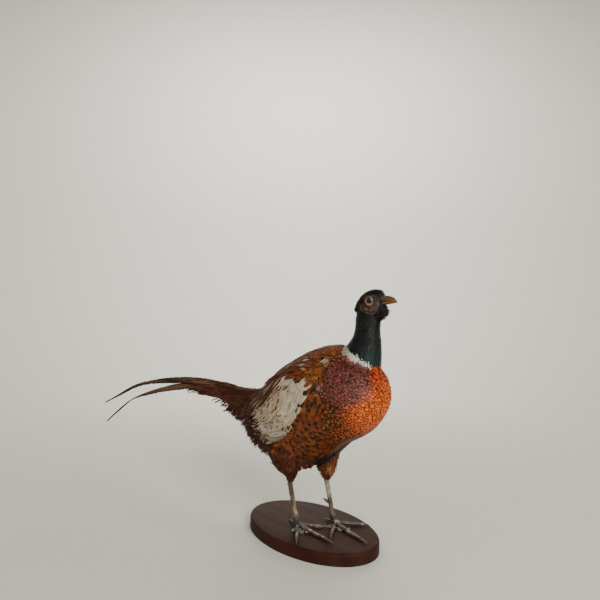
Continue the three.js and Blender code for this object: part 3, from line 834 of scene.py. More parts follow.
def scattered(density):
    """Seeded points all over the form, with their normals, solids and coat depth.

    They lie four times as dense on the head and neck, whose feathers are the smallest.
    """
    form.data.calc_loop_triangles()
    corners = np.array([t.vertices[:] for t in form.data.loop_triangles])
    a, b, c = (form_points[corners[:, i]] / MM for i in range(3))
    area = np.linalg.norm(np.cross(b - a, c - a), axis=1) / 2
    small = np.isin(owner[corners[:, 0]], ("head", "neck"))
    drawn = np.repeat(np.arange(len(area)), chance.poisson(area * density * np.where(small, 4, 1)))
    chance.shuffle(drawn)
    s, t = chance.random((2, len(drawn)))
    flip = s + t > 1
    s, t = np.where(flip, 1 - s, s)[:, None], np.where(flip, 1 - t, t)[:, None]
    places = a[drawn] + (b - a)[drawn] * s + (c - a)[drawn] * t
    first = corners[drawn, 0]
    return places, form_normals[first], owner[first], depth[first]


def spaced(places, way, up, kinds):
    """Which places to keep, so that no two of a tract are closer than it allows."""
    side = np.cross(up, way)
    taken = {}
    kept = []
    for number, (place, kind) in enumerate(zip(places.tolist(), kinds.tolist())):
        along, across = TRACTS[kind][ALONG], TRACTS[kind][ACROSS]
        i, j, k = (math.floor(value / max(along, across)) for value in place)
        wx, wy, wz = way[number].tolist()
        sx, sy, sz = side[number].tolist()
        free = True
        for di, dj, dk in NEIGHBOURS:
            for other in taken.get((kind, i + di, j + dj, k + dk), ()):
                dx, dy, dz = place[0] - other[0], place[1] - other[1], place[2] - other[2]
                run = (dx * wx + dy * wy + dz * wz) / along
                gap = (dx * sx + dy * sy + dz * sz) / across
                free = free and run * run + gap * gap >= 1
        if free:
            taken.setdefault((kind, i, j, k), []).append(place)
            kept.append(number)
    return np.array(kept)


# %% Scatter the roots
CANDIDATES = 0.55  # seeded points per square millimetre, of which few are kept
roots, root_up, root_owner, root_depth = scattered(CANDIDATES)
root_tract = tract_of(roots, root_owner)
way = lie_of(roots, root_tract, root_up)
root_tract = tract_of(shown_part(roots, way, root_tract), root_owner)
way = lie_of(roots, root_tract, root_up)
kept = spaced(roots, way, root_up, root_tract)
x, y, z = shown_part(roots, way, root_tract)[kept].T
kept = kept[(inside("face", x, z) < 0) | (np.abs(y) < 7) | (z < 380)]  # the face stays bare
roots, root_up, root_owner, root_depth, root_tract, way = (
    rows_of_all[kept] for rows_of_all in (roots, root_up, root_owner, root_depth, root_tract, way)
)
numbers, shown = numbers_of(root_tract), shown_part(roots, way, root_tract)
names, counts = np.unique(root_tract, return_counts=True)
print("feathers:", len(roots), dict(zip(names.tolist(), counts.tolist())))

# %% [markdown]
# ### The shape of a vane and how it lies
# Across, a vane is a flat tile with its shaft on top. Along, it is narrow where it leaves the skin,
# widest past the middle and rounded at the tip. Its height runs from the skin at the root to a little
# above the form at the tip. A stiff vane follows the form all the way, and a loose one, such as those
# round the vent, partly keeps its own straight line and stands off as a fringe.

# %% Stretch, turn and drop the rods onto the form
VANE_THICKNESS = 0.22
STANDS_OFF = 0.25  # how far the tip of a quite loose vane rises, as a share of its length
ROOT_PART = 0.3  # the share of its length over which every vane follows the form


def tip_shape(along):
    """The share of its full half width that a vane has at each place along it."""
    rounded = np.sqrt(np.clip(1 - smoothstep(0.62, 1.06, along) ** 2, 0, 1))
    return (0.30 + 0.70 * smoothstep(0, 0.55, along)) * rounded


def vane_points(place, way, up, length, width, hug, lift, depth, covered, sway, surface):
    """All points of all vanes of a tract, in millimetres, as an array of feathers by points by 3."""
    place, way, up = place[:, None], way[:, None], up[:, None]
    length, width, hug, lift, depth, covered, sway = (
        each[:, None] for each in (length, width, hug, lift, depth, covered, sway)
    )
    half = width / 2 * tip_shape(rod_along)
    forward = rod_along * length
    bend = sway * forward**2 / length
    flat = place + way * forward[..., None] + np.cross(up, way) * (half * rod_across + bend)[..., None]
    found = [surface.find_nearest(point)[:2] for point in flat.reshape(-1, 3) * MM]
    on_form = np.array([spot[:] for spot, _ in found]).reshape(flat.shape) / MM
    outward = np.array([normal[:] for _, normal in found]).reshape(flat.shape)
    flat = flat + up * (STANDS_OFF * length * (1 - hug))[..., None] * rod_along[:, None]
    # The vane comes out of the skin over the length that other feathers cover.
    rise = -depth * (1 - smoothstep(0, 1, rod_along / covered)) + lift * rod_along**2
    ridge = (rod_points[:, 1] > 0) * VANE_THICKNESS * 1.2 - VANE_THICKNESS * 0.5
    rise = rise + ridge * np.clip(half / 2, 0.3, 1)
    rooted = np.where(rod_along < ROOT_PART, 1, hug)[..., None]
    normal = unit(outward * rooted + up * (1 - rooted))
    return on_form * rooted + flat * (1 - rooted) + normal * rise[..., None]


# %% Numbers and colours that a mesh carries on its points
def scalar(mesh, name, values):
    """Writes one number per point."""
    mesh.attributes.new(name, "FLOAT", "POINT").data.foreach_set("value", np.ascontiguousarray(values, "f"))


def colour(mesh, name, values):
    """Writes one colour per point, with a fourth number in its alpha."""
    mesh.attributes.new(name, "FLOAT_COLOR", "POINT").data.foreach_set("color", values.astype("f").ravel())


def look_of(place, tract):
    """The attributes of feathers rooted at places in millimetres."""
    count = len(place)
    ground, margin, width, mark, likely, spot = colours_of(place, tract)
    shade = chance.normal(1, 0.10, count)
    shade = shade * np.where(np.isin(tract, ("breast", "side", "crop")), chance.uniform(0.75, 1.25, count), 1)
    ground = np.clip(ground * shade[:, None], 0, 1)
    marked = chance.random(count) < likely
    size = np.where(marked, chance.uniform(0.8, 1.2, count), 0)
    colours = {
        "ground": np.column_stack([ground, chance.random(count)]),
        "margin": np.column_stack([margin, width]),
        "mark": np.column_stack([mark, size]),
    }
    return colours, dict(zip(("spot_wide", "spot_long", "spot_at"), spot.T))


# %% [markdown]
# ### The feather finish
# Seen close, a vane is hundreds of barbs running out and forward from the shaft, with a soft gloss
# along them. The material draws the margin, the mark, the shaft and the barbs from the vane's own
# map. It is the same tree for every tract, and only the gloss is set per kind of plumage, straight on
# the shader.

# %% One material tree for all feathers
def vane_map(f):
    """Places on the vane: u across from 0 to 1, v along, and the distance from the shaft."""
    uv = f.node("UVMap", uv_map="vane")
    u, v = f.axis(uv, 0), f.axis(uv, 1)
    return uv, u, v, f.math("ABSOLUTE", f.times(f.minus(u, 0.5), 2))


def feather_finish(name, shaft_shown, **gloss):
    """The finish of a feather: ground, margin, mark, shaft and barbs, with its own gloss."""
    f = Finish(name, **gloss)
    _, u, v, across = vane_map(f)
    seed = f.times(f.attribute("ground", "Alpha"), 9)
    # Barbs leave the shaft at a slant, so their noise is sheared along it.
    slant = f.minus(v, f.times(across, 0.35))
    barbs = f.noise(2.2, vector=f.combined(f.times(u, 0.6), slant, seed), stretch=(2, 26, 1))
    ragged = f.times(f.minus(barbs, 0.5), 0.5)
    # The margin lies within its width of the vane's rim, measured in half widths.
    tip = f.times(f.minus(1, v), 2.4)
    rim = f.plus(f.math("SMOOTH_MIN", f.minus(1, across), tip, 0.35), ragged)
    width = f.attribute("margin", "Alpha")
    edge = f.step(rim, f.times(width, 0.6), f.times(width, 1.7), 1.0, 0.0)
    edge = f.times(f.times(edge, f.step(width, 0.0, 0.05)), f.step(v, 0.35, 0.6))
    # The mark is an oval on the shaft.
    size = f.attribute("mark", "Alpha")
    wide = f.math("DIVIDE", f.plus(across, f.times(ragged, 0.3)), f.times(f.attribute("spot_wide"), size))
    long = f.math("DIVIDE", f.minus(v, f.attribute("spot_at")), f.times(f.attribute("spot_long"), size))
    oval = f.plus(f.times(wide, wide), f.times(long, long))
    spot = f.times(f.step(oval, 0.7, 1.3, 1.0, 0.0), f.step(size, 0.05, 0.2))
    # Fine darker hairs run along the ground, under the margin, the mark and the shaft.
    ground = f.attribute("ground", "Color")
    hairs = f.noise(2.0, vector=f.combined(u, v, seed), stretch=(7, 1.2, 1))
    darker = f.mix(1.0, ground, (0.42, 0.36, 0.32), how="MULTIPLY")
    base = f.mix(f.step(hairs, 0.35, 0.65, 0.0, 0.45), ground, darker)
    base = f.mix(edge, base, f.attribute("margin", "Color"))
    base = f.mix(spot, base, f.attribute("mark", "Color"))
    shaft = f.step(across, 0.02, 0.09, 1.0, 0.0)
    base = f.mix(f.times(shaft, shaft_shown), base, f.mix(0.5, base, (0.5, 0.42, 0.3)))
    streak = f.step(barbs, 0.3, 0.7, 0.72, 1.22)
    f.paint(f.mix(1.0, base, f.combined(streak, streak, streak), how="MULTIPLY"))
    f.bump(f.plus(f.times(barbs, 0.6), f.times(shaft, 0.4)), strength=0.35, distance=0.0004)
    return f


copper_coat = feather_finish("glossy body feathers", 0.10, Roughness=0.45, Specular_IOR_Level=0.2)
soft_coat = feather_finish("soft body feathers", 0.15, Roughness=0.65, Specular_IOR_Level=0.15)
dark_coat = feather_finish("iridescent neck feathers", 0.0, Roughness=0.42, Specular_IOR_Level=0.16)
pale_coat = feather_finish("wing feathers", 0.3, Roughness=0.6, Specular_IOR_Level=0.2)
print("nodes in each feather finish:", len(soft_coat.tree.nodes))

# %% [markdown]
# ### A map of the whole coat
# The skin is unwrapped flat, and each feather takes a small patch of that map at the place of its
# root. The solids of flesh carry no such map, so the skin's own is the one that the coat shares.

# %% Unwrap the skin, and find each root's place on that map
BAKE_PATCH = 0.003
bpy.context.view_layer.objects.active = skin
skin.select_set(True)
bpy.ops.object.mode_set(mode="EDIT")
bpy.ops.mesh.select_all(action="SELECT")
bpy.ops.uv.smart_project(angle_limit=math.radians(66), island_margin=0.004)
bpy.ops.object.mode_set(mode="OBJECT")
skin_mesh.uv_layers.active.name = "OFBake"
skin_uv = rows(skin_mesh.uv_layers["OFBake"].uv, "vector", 2)
first_loop = np.array([polygon.loop_start for polygon in skin_mesh.polygons])
loop_count = np.array([polygon.loop_total for polygon in skin_mesh.polygons])
print("skin:", len(skin_mesh.polygons), "faces, map from", skin_uv.min(0), "to", skin_uv.max(0))


def root_map(places):
    """Where the face of the form nearest to each place, in millimetres, lies on the skin's map."""
    faces = np.array([form_tree.find_nearest(place)[2] for place in places * MM])
    total = np.add.reduceat(skin_uv, first_loop, axis=0)
    return (total / loop_count[:, None])[faces]


# %% Join vanes into one piece
def coat_piece(name, points, root_uv, look, finish, slot):
    """Joins equal vanes into one mesh, with their maps and attributes. points are in millimetres."""
    vanes, size = points.shape[:2]
    corners = np.array([corner for face in rod_faces for corner in face])
    starts = np.cumsum([0] + [len(face) for face in rod_faces[:-1]])
    mesh = bpy.data.meshes.new(name)
    mesh.vertices.add(vanes * size)
    mesh.loops.add(vanes * len(corners))
    mesh.polygons.add(vanes * len(rod_faces))
    mesh.vertices.foreach_set("co", (points * MM).astype("f").ravel())
    shift = np.arange(vanes)[:, None]
    mesh.loops.foreach_set("vertex_index", (corners[None] + shift * size).ravel().astype("i"))
    mesh.polygons.foreach_set("loop_start", (starts[None] + shift * len(corners)).ravel().astype("i"))
    mesh.update(calc_edges=True)
    own = np.tile(np.stack([rod_across[corners] * 0.5 + 0.5, rod_along[corners]], axis=1), (vanes, 1))
    spread = np.repeat(root_uv, len(corners), axis=0) + (own - 0.5) * BAKE_PATCH
    for layer, values in (("vane", own), ("OFBake", spread)):
        mesh.uv_layers.new(name=layer).uv.foreach_set("vector", values.astype("f").ravel())
    for write, table in zip((colour, scalar), look):
        for key, values in table.items():
            write(mesh, key, np.repeat(values, size, axis=0))
    piece = add_object(name, mesh)
    mesh.set_sharp_from_angle(angle=math.radians(50))
    dress(piece, finish, slot)
    print(name, vanes, "feathers", sum(len(p.vertices) - 2 for p in mesh.polygons), "triangles")


# %% Lay every tract
COATS = {
    "coat_breast": (("breast", "crop", "side"), copper_coat, "body_plumage"),
    "coat_flanks": (("flank", "gold"), copper_coat, "body_plumage"),
    "coat_belly": (("belly", "vent", "thigh"), soft_coat, "body_plumage"),
    "coat_back": (("mantle", "scapular", "rump"), soft_coat, "body_plumage"),
    "coat_wings": (("covert", "secondary", "primary"), pale_coat, "wing_plumage"),
    "coat_neck": (("neck", "collar"), dark_coat, "dark_plumage"),
    "coat_head": (("head", "beard"), dark_coat, "dark_plumage"),
}
BORDER_BLUR = 2.5
LOOSE = ("vent", "thigh", "collar", "beard", "belly")
MINGLING = ("breast", "crop", "side", "flank", "belly", "mantle", "scapular", "gold", "covert")

root_uv = root_map(roots)
# Next to a border, a feather may take its colours from the tract on the other side.
fuzzy = tract_of(shown + chance.normal(0, BORDER_BLUR, shown.shape), root_owner)
painted = np.where(np.isin(root_tract, MINGLING) & np.isin(fuzzy, MINGLING), fuzzy, root_tract)
for piece_name, (members, finish, slot) in COATS.items():
    mine = np.isin(root_tract, members)
    count = mine.sum()
    own, own_way, own_up, own_depth = numbers[mine], way[mine], root_up[mine], root_depth[mine]
    size = np.clip(chance.normal(1, np.where(np.isin(root_tract[mine], LOOSE), 0.20, 0.09)), 0.5, 1.6)
    turned = np.radians(chance.normal(0, 1, count) * own[:, JITTER])[:, None]
    slim = np.where(flecked(shown[mine], painted[mine]), 0.55, 1.0)
    laid = vane_points(
        roots[mine], unit(own_way * np.cos(turned) + np.cross(own_up, own_way) * np.sin(turned)), own_up,
        length=own[:, LENGTH] * size, width=own[:, WIDTH] * size * slim, hug=own[:, HUG],
        lift=own[:, LIFT] + chance.uniform(-0.2, 0.25, count), depth=own_depth,
        covered=np.clip(1.05 - 1.3 * own[:, ALONG] / own[:, LENGTH], 0.3, 0.8),
        sway=chance.normal(0, 0.05, count), surface=form_tree,
    )
    coat_piece(piece_name, laid, root_uv[mine], look_of(shown[mine], painted[mine]), finish, slot)

# %% [markdown]
# ## The long tail feathers
# A cock pheasant's tail is a stack of long pointed feathers, the middle pair longest, each with a
# stiff shaft and a vane whose barbs split apart with age. Each solid blade is read as a line with a
# width: a plane is moved along it, and where it cuts the blade gives a centre and two edges. A finely
# divided grid is then laid along that line and thickened.

# %% Measure a blade by cutting it
TAIL = sorted(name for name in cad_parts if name.startswith("tail_feather"))


def sections(name, count):
    """Centres and edge-to-edge vectors of a long solid, from its front end to its tip."""
    bm = solids(name)
    points = np.array([v.co[:] for v in bm.verts])
    edges = np.array([[v.index for v in e.verts] for e in bm.edges])
    bm.free()
    front, back = points[:, 0].max(), points[:, 0].min()
    long = front - back
    a, b = points[edges[:, 0]], points[edges[:, 1]]
    centres, spans = [], []
    for x in np.linspace(front - 0.012 * long, back + 0.004 * long, count):
        cut = (a[:, 0] - x) * (b[:, 0] - x) < 0
        share = ((x - a[cut, 0]) / (b[cut, 0] - a[cut, 0]))[:, None]
        ring = a[cut] + (b[cut] - a[cut]) * share
        apart = np.linalg.norm(ring[:, None] - ring[None], axis=2)
        i, j = np.unravel_index(apart.argmax(), apart.shape)
        span = ring[i] - ring[j]
        centres.append((ring[i] + ring[j]) / 2)
        spans.append(span if span[2] < 0 else -span)
    return np.array(centres), np.array(spans)


def evened(values, rounds):
    """Values smoothed along a line, with their ends kept."""
    values = values.copy()
    for _ in range(rounds):
        values[1:-1] = 0.25 * values[:-2] + 0.5 * values[1:-1] + 0.25 * values[2:]
    return values


# %% Build the tail feathers
STEPS, LANES = 90, 8
TAIL_THICKNESS = 0.35 * MM
NOTCH_DEPTH = 0.16  # how deep the worn edges are cut, as a share of the half width
bm = bmesh.new()
uv_layer = bm.loops.layers.uv.new("vane")
for name in TAIL:
    centres, spans = sections(name, STEPS + 1)
    centres, spans = evened(centres, 6), evened(spans, 12)
    grid = bmesh.ops.create_grid(bm, x_segments=LANES, y_segments=STEPS, size=1)["verts"]
    ragged = chance.normal(0, 1, STEPS + 1)
    for v in grid:
        across, along = v.co.x, (v.co.y + 1) / 2
        step = round(along * STEPS)
        forward = Vector(centres[min(step + 1, STEPS)] - centres[max(step - 1, 0)]).normalized()
        span = Vector(spans[step]) / 2
        up = forward.cross(span).normalized()
        up = up if up.z > 0 else -up
        roof = 0.9 + 1.5 * along * ("long" in name)
        notch = 1 - NOTCH_DEPTH * abs(across) ** 3 * abs(ragged[step]) * (0.4 + 0.6 * along)
        v.co = Vector(centres[step]) + span * across * notch + up * (roof * (1 - across**2) - 0.3) * MM
        for loop in v.link_loops:
            loop[uv_layer].uv = (across / 2 + 0.5, along)
bmesh.ops.solidify(bm, geom=bm.faces[:], thickness=TAIL_THICKNESS)
bmesh.ops.recalc_face_normals(bm, faces=bm.faces)
tail = object_of("tail_feathers", bm)
tail_mesh = tail.data

# %% [markdown]
# The tail's finish runs from rust at the root through olive-brown, with rusty edges, to nearly black
# at the tips. A noise squeezed along the vane gives the barbs, which are sheared a little forwards.

# %% Finish of the tail
def tail_finish():
    f = Finish("barred tail feathers", Roughness=0.65, Specular_IOR_Level=0.2)
    uv, _, v, across = vane_map(f)
    sheared = f.combined(across, f.minus(v, f.times(across, 0.02)))
    barbs = f.noise(2.0, detail=4, vector=sheared, stretch=(1.5, 160, 1))
    centre = f.step(f.plus(across, f.times(barbs, 0.4)), 0.35, 0.95, 1.0, 0.0)
    base = f.mix(centre, (0.085, 0.027, 0.014), (0.145, 0.092, 0.042))
    streaks = f.noise(2.0, detail=4, vector=uv, stretch=(9, 3, 1))
    rusty = f.mix(f.step(streaks, 0.35, 0.65), (0.035, 0.013, 0.009), (0.115, 0.040, 0.019))
    base = f.mix(f.step(v, 0.10, 0.42, 0.95, 0.0), base, rusty)
    base = f.mix(f.step(v, 0.40, 0.85), base, (0.014, 0.009, 0.007))
    base = f.mix(f.step(across, 0.03, 0.08, 0.8, 0.0), base, (0.06, 0.035, 0.02))
    f.paint(f.mix(f.step(barbs, 0.5, 0.75, 0.0, 0.55), base, (0.02, 0.010, 0.008)))
    f.bump(barbs, strength=0.4, distance=0.0006)
    return f


dress(tail, tail_finish(), "tail_plumage", *TAIL)

# %% [markdown]
# Short rusty feathers grow over the roots of the long ones, on top and underneath, where they hang
# down as a fringe. They are the same vanes, scattered over the finished tail as far as a ragged line.
#
# The thickening above may leave points and faces in another order each run. A random choice among
# them, or a search for the nearest face, would then give another coat, so both are sorted first.

# %% The tail's points and faces, always in the same order
def in_order(mesh):
    """Points in millimetres, their normals and a tree of the faces, sorted by where they are."""
    order = np.lexsort(points_of(mesh).T)
    points, up = points_of(mesh)[order], normals_of(mesh)[order].round(4)
    number = np.argsort(order).tolist()
    faces = []
    for face in mesh.polygons:
        corners = [number[v] for v in face.vertices]
        lowest = corners.index(min(corners))
        faces.append(corners[lowest:] + corners[:lowest])
    return points / MM, up, BVHTree.FromPolygons(points.tolist(), sorted(faces))


tail_points, tail_up, tail_tree = in_order(tail_mesh)
print("tail:", len(tail_points), "points, the first at", tail_points[0].round(2), "mm")

# %% Short feathers over the root of the tail
LAST_ROOT, RAGGED = -330, 90
picked = np.where(tail_points[:, 0] > LAST_ROOT + chance.uniform(0, RAGGED, len(tail_points)))[0]
chance.shuffle(picked)
on_tail, up = tail_points[picked], tail_up[picked]
below = smoothstep(0.1, -0.3, up[:, 2])[:, None]
way = along_surface(np.array((-1.0, 0, -0.12)) * (1 - below) + np.array((-0.85, 0, -0.5)) * below, up)
kept = spaced(on_tail, way, up, np.full(len(picked), "rump"))
count = len(kept)
strays = chance.normal(0, 0.12, (count, 3)) * (0.4 + 0.6 * below[kept])
on_tail, up, way, hanging = on_tail[kept], up[kept], unit(way[kept] + strays), below[kept, 0]
laid = vane_points(
    on_tail, way, up, length=chance.uniform(18, 30, count) + 6 * hanging,
    width=chance.uniform(2.2, 3.4, count) + 2 * hanging, hug=0.9 - 0.4 * hanging,
    lift=chance.uniform(0.5, 0.9, count) + chance.uniform(0, 1.6, count) * hanging,
    depth=np.zeros(count), covered=np.full(count, 0.4), sway=chance.normal(0, 0.06, count), surface=tail_tree,
)
look = look_of(on_tail, np.full(count, "rump"))
coat_piece("coat_tail", laid, root_map(on_tail), look, soft_coat, "tail_plumage")

# %% [markdown]
# ## The bare face
# A cock's face is bare, wrinkled skin, dried to brown on this bird. A thick pale lid goes all round
# the eye, thin folds cross the skin in front of it, and a pale rim edges the lobe below. Lids and
# folds are chains of soft balls laid on the cheek's solid and remeshed with it into one skin, as a
# modeller rolls and smooths them in clay.

# %% Paths of the lids and folds
def ring(x, z, wide, tall):
    """The corners of a closed ring, seen from the side."""
    turn = np.linspace(0, 2 * np.pi, 25)
    return np.column_stack([x + wide * np.cos(turn), z + tall * np.sin(turn)])


# Each fold: its path in x and z, its thickness, and how pale it has dried.
FOLDS = [
    (ring(123.3, 412.3, 5.7, 6.4), 1.35, 0.8),
    (ring(123.2, 412.4, 4.5, 4.7), 0.8, 0.35),
    ([(112, 408), (107, 404.5), (105.5, 401.5), (109, 398.3), (115, 395), (121, 392.3), (127, 391.4),
      (132.5, 392.8), (135.5, 396.5), (136, 400)], 0.85, 0.42),
    (ring(132.6, 399.0, 2.2, 2.6), 0.65, 0.45),
    ([(130.5, 421.0), (134.5, 418), (137, 413.5), (136.5, 408.5)], 1.1, 0.3),
    ([(132, 417), (133.8, 413), (133.3, 408.5)], 0.9, 0.25),
    ([(112.5, 414), (114.5, 418.5), (119, 421.6), (125, 422.2), (129.5, 420.6)], 0.9, 0.2),
    ([(114.5, 405.8), (119, 404), (125, 403.6), (130, 405.4), (132.5, 408.5)], 1.0, 0.3),
    ([(118, 399.5), (122, 397), (127, 396.4)], 2.4, 0.3),
    ([(113, 401.5), (117, 403.5), (121, 403)], 1.1, 0.2),
    ([(111, 399.5), (117, 397), (122, 394.8)], 0.8, 0.15),
]

# %% Lids and folds on the cheek
BEAD_GAP = 0.6


def laid_path(path, sign, sunk):
    """Points close together along a path, dropped onto the side of the form and sunk into it."""
    path = np.array(path, float)
    walked = np.concatenate([[0], np.cumsum(np.linalg.norm(np.diff(path, axis=0), axis=1))])
    steps = np.linspace(0, walked[-1], int(walked[-1] / BEAD_GAP) + 2)
    x, z = (np.interp(steps, walked, path[:, axis]) for axis in (0, 1))
    inward = Vector((0, -sign, 0))
    hits = [form_tree.ray_cast(Vector((u, sign * 60, w)) * MM, inward)[0] for u, w in zip(x, z)]
    y = np.array([hit.y for hit in hits]) / MM - sign * sunk
    return np.column_stack([x, y, z])


def cheek_of(side, sign):
    """The bare skin of one side of the face, with its paleness on every point."""
    bm = solids(f"wattle_{side}")
    paths = [laid_path(path, sign, 0.3 * thick) for path, thick, _ in FOLDS]
    for path, (_, thick, _) in zip(paths, FOLDS):
        for spot, swell in zip(path, 1 + wobble(path, 2.6, 0.35)):
            ball(bm, spot, thick * swell, fineness=2)
    cheek = refined(f"cheek_{side}", bm, voxel=0.45, smoothing=5)
    mesh = cheek.data
    points = points_of(mesh)
    creases = wobble(points / MM, 0.9, 0.26) + wobble(points / MM, 0.4, 0.12)
    pale = np.zeros(len(points))
    for path, (_, thick, paleness) in zip(paths, FOLDS):
        gap = np.min(np.linalg.norm(points[:, None] / MM - path[None], axis=2), axis=1)
        share = 1 - smoothstep(0.8 * thick, 1.7 * thick, gap)
        pale = np.maximum(pale, (paleness + wobble(points / MM, 1.5, 0.38)) * share)
    put_points(mesh, points + normals_of(mesh) * creases[:, None] * MM)
    scalar(mesh, "pale", pale)
    return cheek


# %% Finish of the face
def face_finish():
    f = Finish("dried face skin", Roughness=0.5, Specular_IOR_Level=0.35)
    wrinkles = f.noise(330, detail=6)
    blotches = f.noise(110, detail=3)
    dark = f.mix(f.step(blotches, 0.35, 0.65), (0.014, 0.007, 0.006), (0.050, 0.022, 0.013))
    light = f.mix(f.step(blotches, 0.35, 0.7), (0.17, 0.105, 0.062), (0.36, 0.255, 0.16))
    pale = f.plus(f.attribute("pale"), f.times(f.minus(wrinkles, 0.5), 0.9))
    f.paint(f.mix(f.step(pale, 0.15, 0.85), dark, light))
    f.bump(wrinkles, strength=0.6, distance=0.0005)
    return f


face = face_finish()
for side, sign in SIDES.items():
    dress(cheek_of(side, sign), face, "face_skin", f"wattle_{side}")

# %% [markdown]
# ## Eyes
# A taxidermist's eye is a glass half-ball painted on its back. Here a globe is dished in at the front
# and carries the iris and the pupil, and a clear ball just larger than it is the cornea, so that the
# iris lies at a real depth behind a highlight.

# %% Finishes of the eye
EYE_PLACE = np.array((123.0, 12.2, 412.5))
GLOBE, CORNEA = 4.9, 5.0
IRIS_DEEP = 3.6
PUPIL_EDGE, IRIS_EDGE = (0.0017, 0.0020), (0.0028, 0.0034)  # in metres from the eye's middle


def iris_finish():
    f = Finish("painted iris", Roughness=0.8, Specular_IOR_Level=0.05)
    flat = f.stretched(f.place(), (1, 0, 1))
    middle = (EYE_PLACE[0] * MM, 0, EYE_PLACE[2] * MM)
    away = f.node("VectorMath", output="Value", sockets={0: flat, 1: middle}, operation="DISTANCE")
    fibres = f.noise(520, detail=2)
    iris = f.mix(fibres, (0.055, 0.024, 0.006), (0.20, 0.095, 0.028))
    iris = f.mix(f.step(away, *IRIS_EDGE), iris, (0.012, 0.006, 0.004))
    f.paint(f.mix(f.step(away, *PUPIL_EDGE, 1.0, 0.0), iris, (0.002, 0.002, 0.002)))
    f.bump(fibres, strength=0.1)
    return f


def cornea_finish():
    f = Finish("clear cornea", IOR=1.4, Transmission_Weight=1.0, Base_Color=(1, 1, 1, 1))
    f.set(f.shader, {"Roughness": f.step(f.noise(350, detail=2), 0.4, 0.8, 0.02, 0.08)})
    return f


# %% Eyes
def ball_of_eye(name, radius, sign):
    """A ball at the eye's place with its pole facing sideways."""
    bm = bmesh.new()
    place = at(EYE_PLACE * (1, sign, 1)) @ Matrix.Rotation(-sign * math.pi / 2, 4, "X")
    bmesh.ops.create_uvsphere(bm, u_segments=40, v_segments=28, radius=radius * MM, matrix=place)
    return object_of(name, bm)


painted_iris, clear_cornea = iris_finish(), cornea_finish()
for side, sign in SIDES.items():
    globe = ball_of_eye(f"globe_{side}", GLOBE, sign)
    points = points_of(globe.data) / MM
    out = sign * points[:, 1] - EYE_PLACE[1]
    radius = np.hypot(points[:, 0] - EYE_PLACE[0], points[:, 2] - EYE_PLACE[2])
    dish = IRIS_DEEP - 0.5 * (1 - radius / np.sqrt(GLOBE**2 - IRIS_DEEP**2))
    points[:, 1] = sign * (EYE_PLACE[1] + np.where(out > IRIS_DEEP, dish, out))
    put_points(globe.data, points * MM)
    dress(globe, painted_iris, "eye_glass")
    dress(ball_of_eye(f"cornea_{side}", CORNEA, sign), clear_cornea, "eye_glass", f"eye_{side}")

# %% [markdown]
# ## Bill
# The bill is horn: yellow-brown, dark along its ridge, with growth lines and a fleshy grey flap over
# each nostril. The flaps are soft balls joined to the upper half before it is remeshed. Which points
# lie on a flap, or in the slit of the nostril under it, is kept as an attribute for the finish.

# %% Horn
def bill_finish():
    f = Finish("bill horn", Roughness=0.5, Specular_IOR_Level=0.25)
    growth = f.noise(130, detail=4, stretch=(0.35, 1, 1))
    base = f.mix(f.step(growth, 0.3, 0.7), (0.044, 0.022, 0.009), (0.150, 0.081, 0.029))
    height = f.plus(f.axis(f.place(), 2), f.times(f.noise(60, detail=2), 0.003))
    base = f.mix(f.step(height, 0.4175, 0.4225, 0.0, 0.85), base, (0.050, 0.031, 0.022))
    base = f.mix(f.step(f.attribute("flap"), 0.2, 0.8), base, (0.075, 0.062, 0.055))
    f.paint(f.mix(f.step(f.attribute("nostril"), 0.3, 0.7), base, (0.006, 0.004, 0.004)))
    f.bump(growth, strength=0.3)
    return f


# %% Bill
FLAP = np.array((144.2, 5.6, 418.2))
NOSTRIL = FLAP + (1.5, 0, -2.6)
TIP_SHIFT = np.array((2.0, 0, 0.7))


def from_oval(points, middle, squeeze):
    """Distance from a place seen from the side, with the length along squeezed."""
    return np.hypot((points[:, 0] - middle[0]) * squeeze, points[:, 2] - middle[2])


horn = bill_finish()
for half in ("upper", "lower"):
    bm = solids(f"bill_{half}")
    if half == "upper":
        for sign in SIDES.values():
            ball(bm, FLAP * (1, sign, 1), 2.3, stretch=(1.7, 0.8, 1))
    bill = refined(f"bill_{half}_horn", bm, voxel=0.4, smoothing=7)
    points = points_of(bill.data) / MM
    scalar(bill.data, "flap", 1 - smoothstep(1.6, 2.8, from_oval(points, FLAP, 0.6)))
    scalar(bill.data, "nostril", 1 - smoothstep(0.5, 0.9, from_oval(points, NOSTRIL, 0.35)))
    if half == "lower":
        put_points(bill.data, (points + smoothstep(140, 160, points[:, 0])[:, None] * TIP_SHIFT) * MM)
    dress(bill, horn, "bill_horn", f"bill_{half}")

# %% [markdown]
# ## Legs and claws
# Shank, toes and spur are covered in horny plates. Shank and foot are joined into one smooth leg on
# each side, thickened at the shank and at its foot end, with a slight wobble for the knuckles. The
# plates are too small for the net, so they are the cells of a pattern in the finish, which darkens
# and dents the lines between them. Pale flecks are dried glue.

